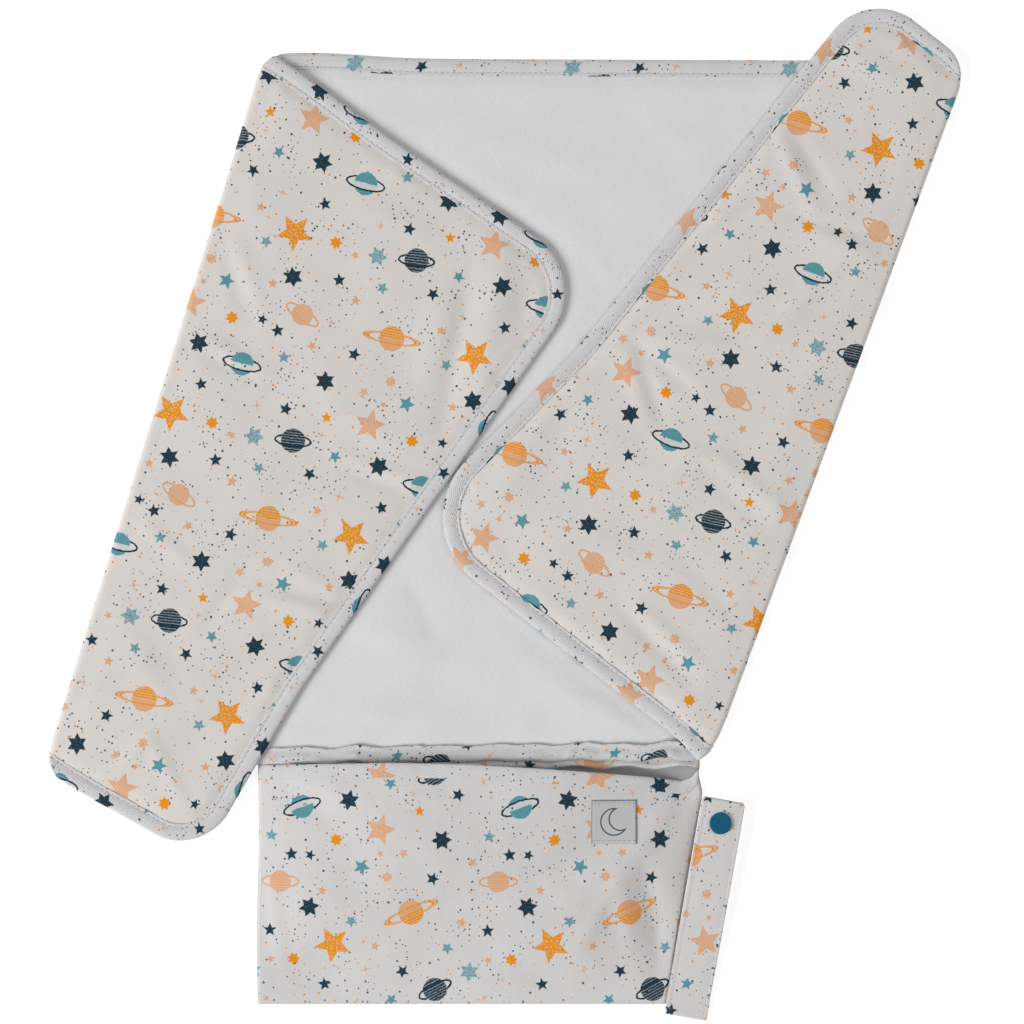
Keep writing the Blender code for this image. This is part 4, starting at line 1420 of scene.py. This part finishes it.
def add_label():
    """The woven label, sewn on along its upper and lower edges."""
    steps = 26
    line = np.linspace(-0.5, 0.5, steps)
    x, y = np.meshgrid(line * LABEL_SIZE[0], -line * LABEL_SIZE[1])
    local = np.column_stack((x.ravel(), y.ravel()))
    base = on_front(local + LABEL_CENTRE)
    edge = 0.5 - np.abs(local / LABEL_SIZE).max(axis=1)
    puff = smooth(edge, 0.0, 0.08) * 0.12
    upper = base + np.column_stack((np.zeros((len(base), 2)), 0.78 + puff))
    lower = base + np.array((0.0, 0.0, 0.42))
    item = shell("moon_label", upper, lower, grid_faces(steps, steps), local, [label_finish])
    belongs(item, "pouch_front", "label", "woven_label")
    rows = []
    for y in (10.6, -10.6):
        seam = np.column_stack((np.linspace(-11.5, 11.5, 24), np.full(24, y)))
        rows.append(on_front(seam + LABEL_CENTRE, 0.95))
    add_stitches("label_stitches", rows, LABEL_STITCH, "pouch_front")


# Strap and snap


def strap_frame():
    closed = np.array(STRAP_CLOSED_END)
    run = np.array(STRAP_OPEN_END) - closed
    length = np.linalg.norm(run)
    along = run / length
    return closed, along, np.array((along[1], -along[0])), length


def strap_middle(rise, distance, length):
    share = smooth(distance / length, 0.0, STRAP_LEVEL_FROM)
    return rise[0] + (rise[1] - rise[0]) * share + STRAP_CLOTH / 2.0


STRAP_BACK = (0.0, 1.4)
STRAP_FRONT = (1.6, 6.5)
# The band's section: share of its width, and height over its middle.
BAND_SECTION = (
    (-0.5, 0.0), (-0.497, 0.30), (-0.48, 0.44), (-0.45, 0.46), (-0.425, 0.34), (-0.40, 0.30),
    (-0.375, 0.36), (-0.33, 0.46), (-0.15, 0.49), (0.0, 0.5), (0.15, 0.49), (0.33, 0.46),
    (0.375, 0.36), (0.40, 0.30), (0.425, 0.34), (0.45, 0.46), (0.48, 0.44), (0.497, 0.30),
)


def band_loop():
    """The band's whole section, anticlockwise."""
    lower = [(share, -height) for share, height in reversed(BAND_SECTION[1:])]
    return list(BAND_SECTION) + [(0.5, 0.0)] + lower


def add_strap():
    """The doubled band as one strip that turns at its closed end."""
    closed, along, side, length = strap_frame()
    loop = band_loop()
    shares, offsets = np.array(loop).T
    stations = []
    reach = -1.0
    distances = np.concatenate(
        (np.linspace(length, length - 2.5, 6), np.linspace(length - 4.5, reach, 60))
    )
    for distance in distances:
        stations.append((distance, strap_middle(STRAP_BACK, distance, length)))
    low = strap_middle(STRAP_BACK, reach, length)
    high = strap_middle(STRAP_FRONT, reach, length)
    centre, radius = (low + high) / 2.0, (high - low) / 2.0
    for angle in np.linspace(-80.0, 80.0, 9):
        turn = radians(angle)
        stations.append((reach - radius * cos(turn), centre + radius * sin(turn)))
    for distance in distances[::-1]:
        stations.append((distance, strap_middle(STRAP_FRONT, distance, length)))
    points = np.array(stations)
    tangents = np.gradient(points, axis=0)
    tangents /= np.linalg.norm(tangents, axis=1)[:, None]
    run = path_length(points)
    sections = []
    places = []
    for (distance, level), tangent, at in zip(points, tangents, run):
        from_end = length - distance
        narrow = 1.0 - 0.06 * (1.0 - smooth(from_end, 0.0, 2.2)) ** 2
        thin = 0.55 + 0.45 * smooth(from_end, 0.0, 1.2)
        dip = 1.0 - 0.35 * np.exp(-((from_end - 2.4) / 0.55) ** 2)
        ripple = noise.noise(Vector((at / 24.0, 3.0, 0.0))) * 0.10
        normal = np.array((-tangent[1], tangent[0]))
        height = offsets * thin * dip
        waist = STRAP_WIDTH * (1.0 + 0.012 * noise.noise(Vector((at / 30.0, 1.0, 5.0))))
        lateral = -shares * waist * narrow
        distance_out = distance + normal[0] * height
        level_out = level + normal[1] * height + ripple * np.cos(shares * pi)
        plan = closed + np.outer(distance_out, along) + np.outer(lateral, side)
        sections.append(np.column_stack((plan, np.maximum(level_out, 0.02))))
        places.append(np.column_stack((lateral + 14.0, np.full(len(loop), at - 94.0))))
    item = sweep("strap_band", sections, places, [pouch_finish])
    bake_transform(item)
    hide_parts("strap_back_half", "strap_front_half")
    add_strap_stitches(closed, along, side, length)
    add_snap(closed, along, length)


def add_strap_stitches(closed, along, side, length):
    """Topstitching down both long edges and across the open end of each half."""
    for name, rise, body, face in (
        ("strap_back_stitches", STRAP_BACK, "strap", -1.0),
        ("strap_front_stitches", STRAP_FRONT, "strap_tongue", 1.0),
    ):
        rows = []
        for across in (-STRAP_SEAM, STRAP_SEAM):
            row = []
            for distance in np.linspace(1.5, length - STRAP_END_SEAM, 60):
                plan = closed + along * distance + side * across
                level = strap_middle(rise, distance, length) + face * 0.30
                row.append((*plan, level))
            rows.append(row)
        end = []
        for across in np.linspace(-STRAP_SEAM, STRAP_SEAM, 12):
            plan = closed + along * (length - STRAP_END_SEAM) + side * across
            end.append((*plan, strap_middle(rise, length, length) + face * 0.28))
        rows.append(end)
        add_stitches(name, rows, STRAP_STITCH, body, strap_thread_finish)


def lathe(name, profile, centre, body, node):
    """A turned piece from (radius, height) points, closed on its axis or round its bore."""
    segments = 64
    bored = profile[0][0] > 0.0
    points = []
    faces = []
    rings = []
    for radius, level in profile:
        if radius == 0.0:
            rings.append([len(points)])
            points.append((*centre, level))
            continue
        ring = []
        for step in range(segments):
            angle = 2.0 * pi * step / segments
            ring.append(len(points))
            points.append((centre[0] + radius * cos(angle), centre[1] + radius * sin(angle), level))
        rings.append(ring)
    pairs = list(zip(rings, rings[1:]))
    if bored:
        pairs.append((rings[-1], rings[0]))
    for first, second in pairs:
        for step in range(segments):
            after = (step + 1) % segments
            if len(first) == 1:
                faces.append((first[0], second[step], second[after]))
            elif len(second) == 1:
                faces.append((first[step], second[0], first[after]))
            else:
                faces.append((first[step], second[step], second[after], first[after]))
    item = finish_mesh(name, points, faces, None, [snap_finish])
    edges = item.modifiers.new("soft edges", "BEVEL")
    edges.width = 0.12 * MM
    edges.segments = 2
    edges.limit_method = "ANGLE"
    edges.angle_limit = radians(40.0)
    belongs(item, body, "snap", node)


def cap_points(face, rim, pin_end, sign):
    """A cap: slightly crowned, with a rounded rim and a pin."""
    points = [(0.0, face), (3.0, face - sign * 0.02), (4.8, face - sign * 0.06)]
    for step in range(7):
        angle = pi / 2.0 * step / 6
        points.append((5.65 + 0.55 * sin(angle), face - sign * (0.08 + 0.55 * (1.0 - cos(angle)))))
    points += [(6.05, rim + sign * 0.1), (5.8, rim), (1.2, rim), (1.05, pin_end), (0.0, pin_end)]
    return points


def add_snap(closed, along, length):
    centre = closed + along * (length - SNAP_FROM_OPEN_END)
    lathe("snap_front_cap", cap_points(9.0, 7.8, 5.9, 1.0), centre, "strap_tongue", "snap_cap")
    lathe("snap_rear_cap", cap_points(0.0, 1.1, 4.9, -1.0), centre, "strap", "snap_back_cap")
    socket = (
        (1.6, 6.2), (4.9, 6.2), (5.2, 5.9), (5.2, 4.1), (4.9, 3.8), (3.1, 3.8), (2.9, 4.0),
        (2.9, 5.6), (1.6, 5.6),
    )
    lathe("snap_socket_ring", socket, centre, "strap_tongue", "snap_socket")
    stud = (
        (1.6, 5.2), (2.3, 5.2), (2.5, 5.0), (2.35, 3.9), (2.6, 3.5), (5.0, 3.5), (5.2, 3.3),
        (5.2, 2.7), (1.6, 2.7),
    )
    lathe("snap_stud_ring", stud, centre, "strap", "snap_stud")


# Stage

WHITE = (1.0, 1.0, 1.0, 1.0)
FLOOR_LEVEL = -0.0004
FRAME_WIDTH = 0.5775


def add_floor():
    mesh = bpy.data.meshes.new("floor")
    far = 6.0
    ends = ((-far, -far), (far, -far), (far, far), (-far, far))
    mesh.from_pydata([(x, y, FLOOR_LEVEL) for x, y in ends], [], [(0, 1, 2, 3)])
    floor = put("floor", mesh)
    finish = Finish(
        "white_floor", 0.9, Specular_IOR_Level=0.0, Emission_Color=WHITE, Emission_Strength=0.72
    )
    finish.colour((0.5, 0.5, 0.5))
    mesh.materials.append(finish.material)


def add_light(name, place, size, power):
    lamp = bpy.data.lights.new(name, "AREA")
    lamp.shape = "SQUARE"
    lamp.size = size
    lamp.energy = power
    item = put(name, lamp)
    item.location = place
    item.rotation_euler = (-Vector(place)).to_track_quat("-Z", "Y").to_euler()


def add_stage():
    add_floor()
    world = bpy.data.worlds.new("studio")
    world.use_nodes = True
    background = world.node_tree.nodes["Background"]
    background.inputs["Color"].default_value = WHITE
    background.inputs["Strength"].default_value = 0.30
    bpy.context.scene.world = world
    add_light("key", (-4.4, -1.7, 3.0), 2.6, 277.0)
    add_light("fill", (2.6, 1.2, 3.2), 2.5, 42.0)
    camera = bpy.data.cameras.new("camera")
    camera.lens = 100.0
    camera.sensor_width = 36.0
    item = put("camera", camera)
    item.location = (0.0025, 0.00056, FRAME_WIDTH * camera.lens / camera.sensor_width + 0.006)
    bpy.context.scene.camera = item
    bpy.context.scene.view_settings.view_transform = "Standard"


add_stage()
add_cover(left)
add_cover(right)
add_linings()
add_wadding()
add_mat_bindings()
add_pouch()
add_strap()
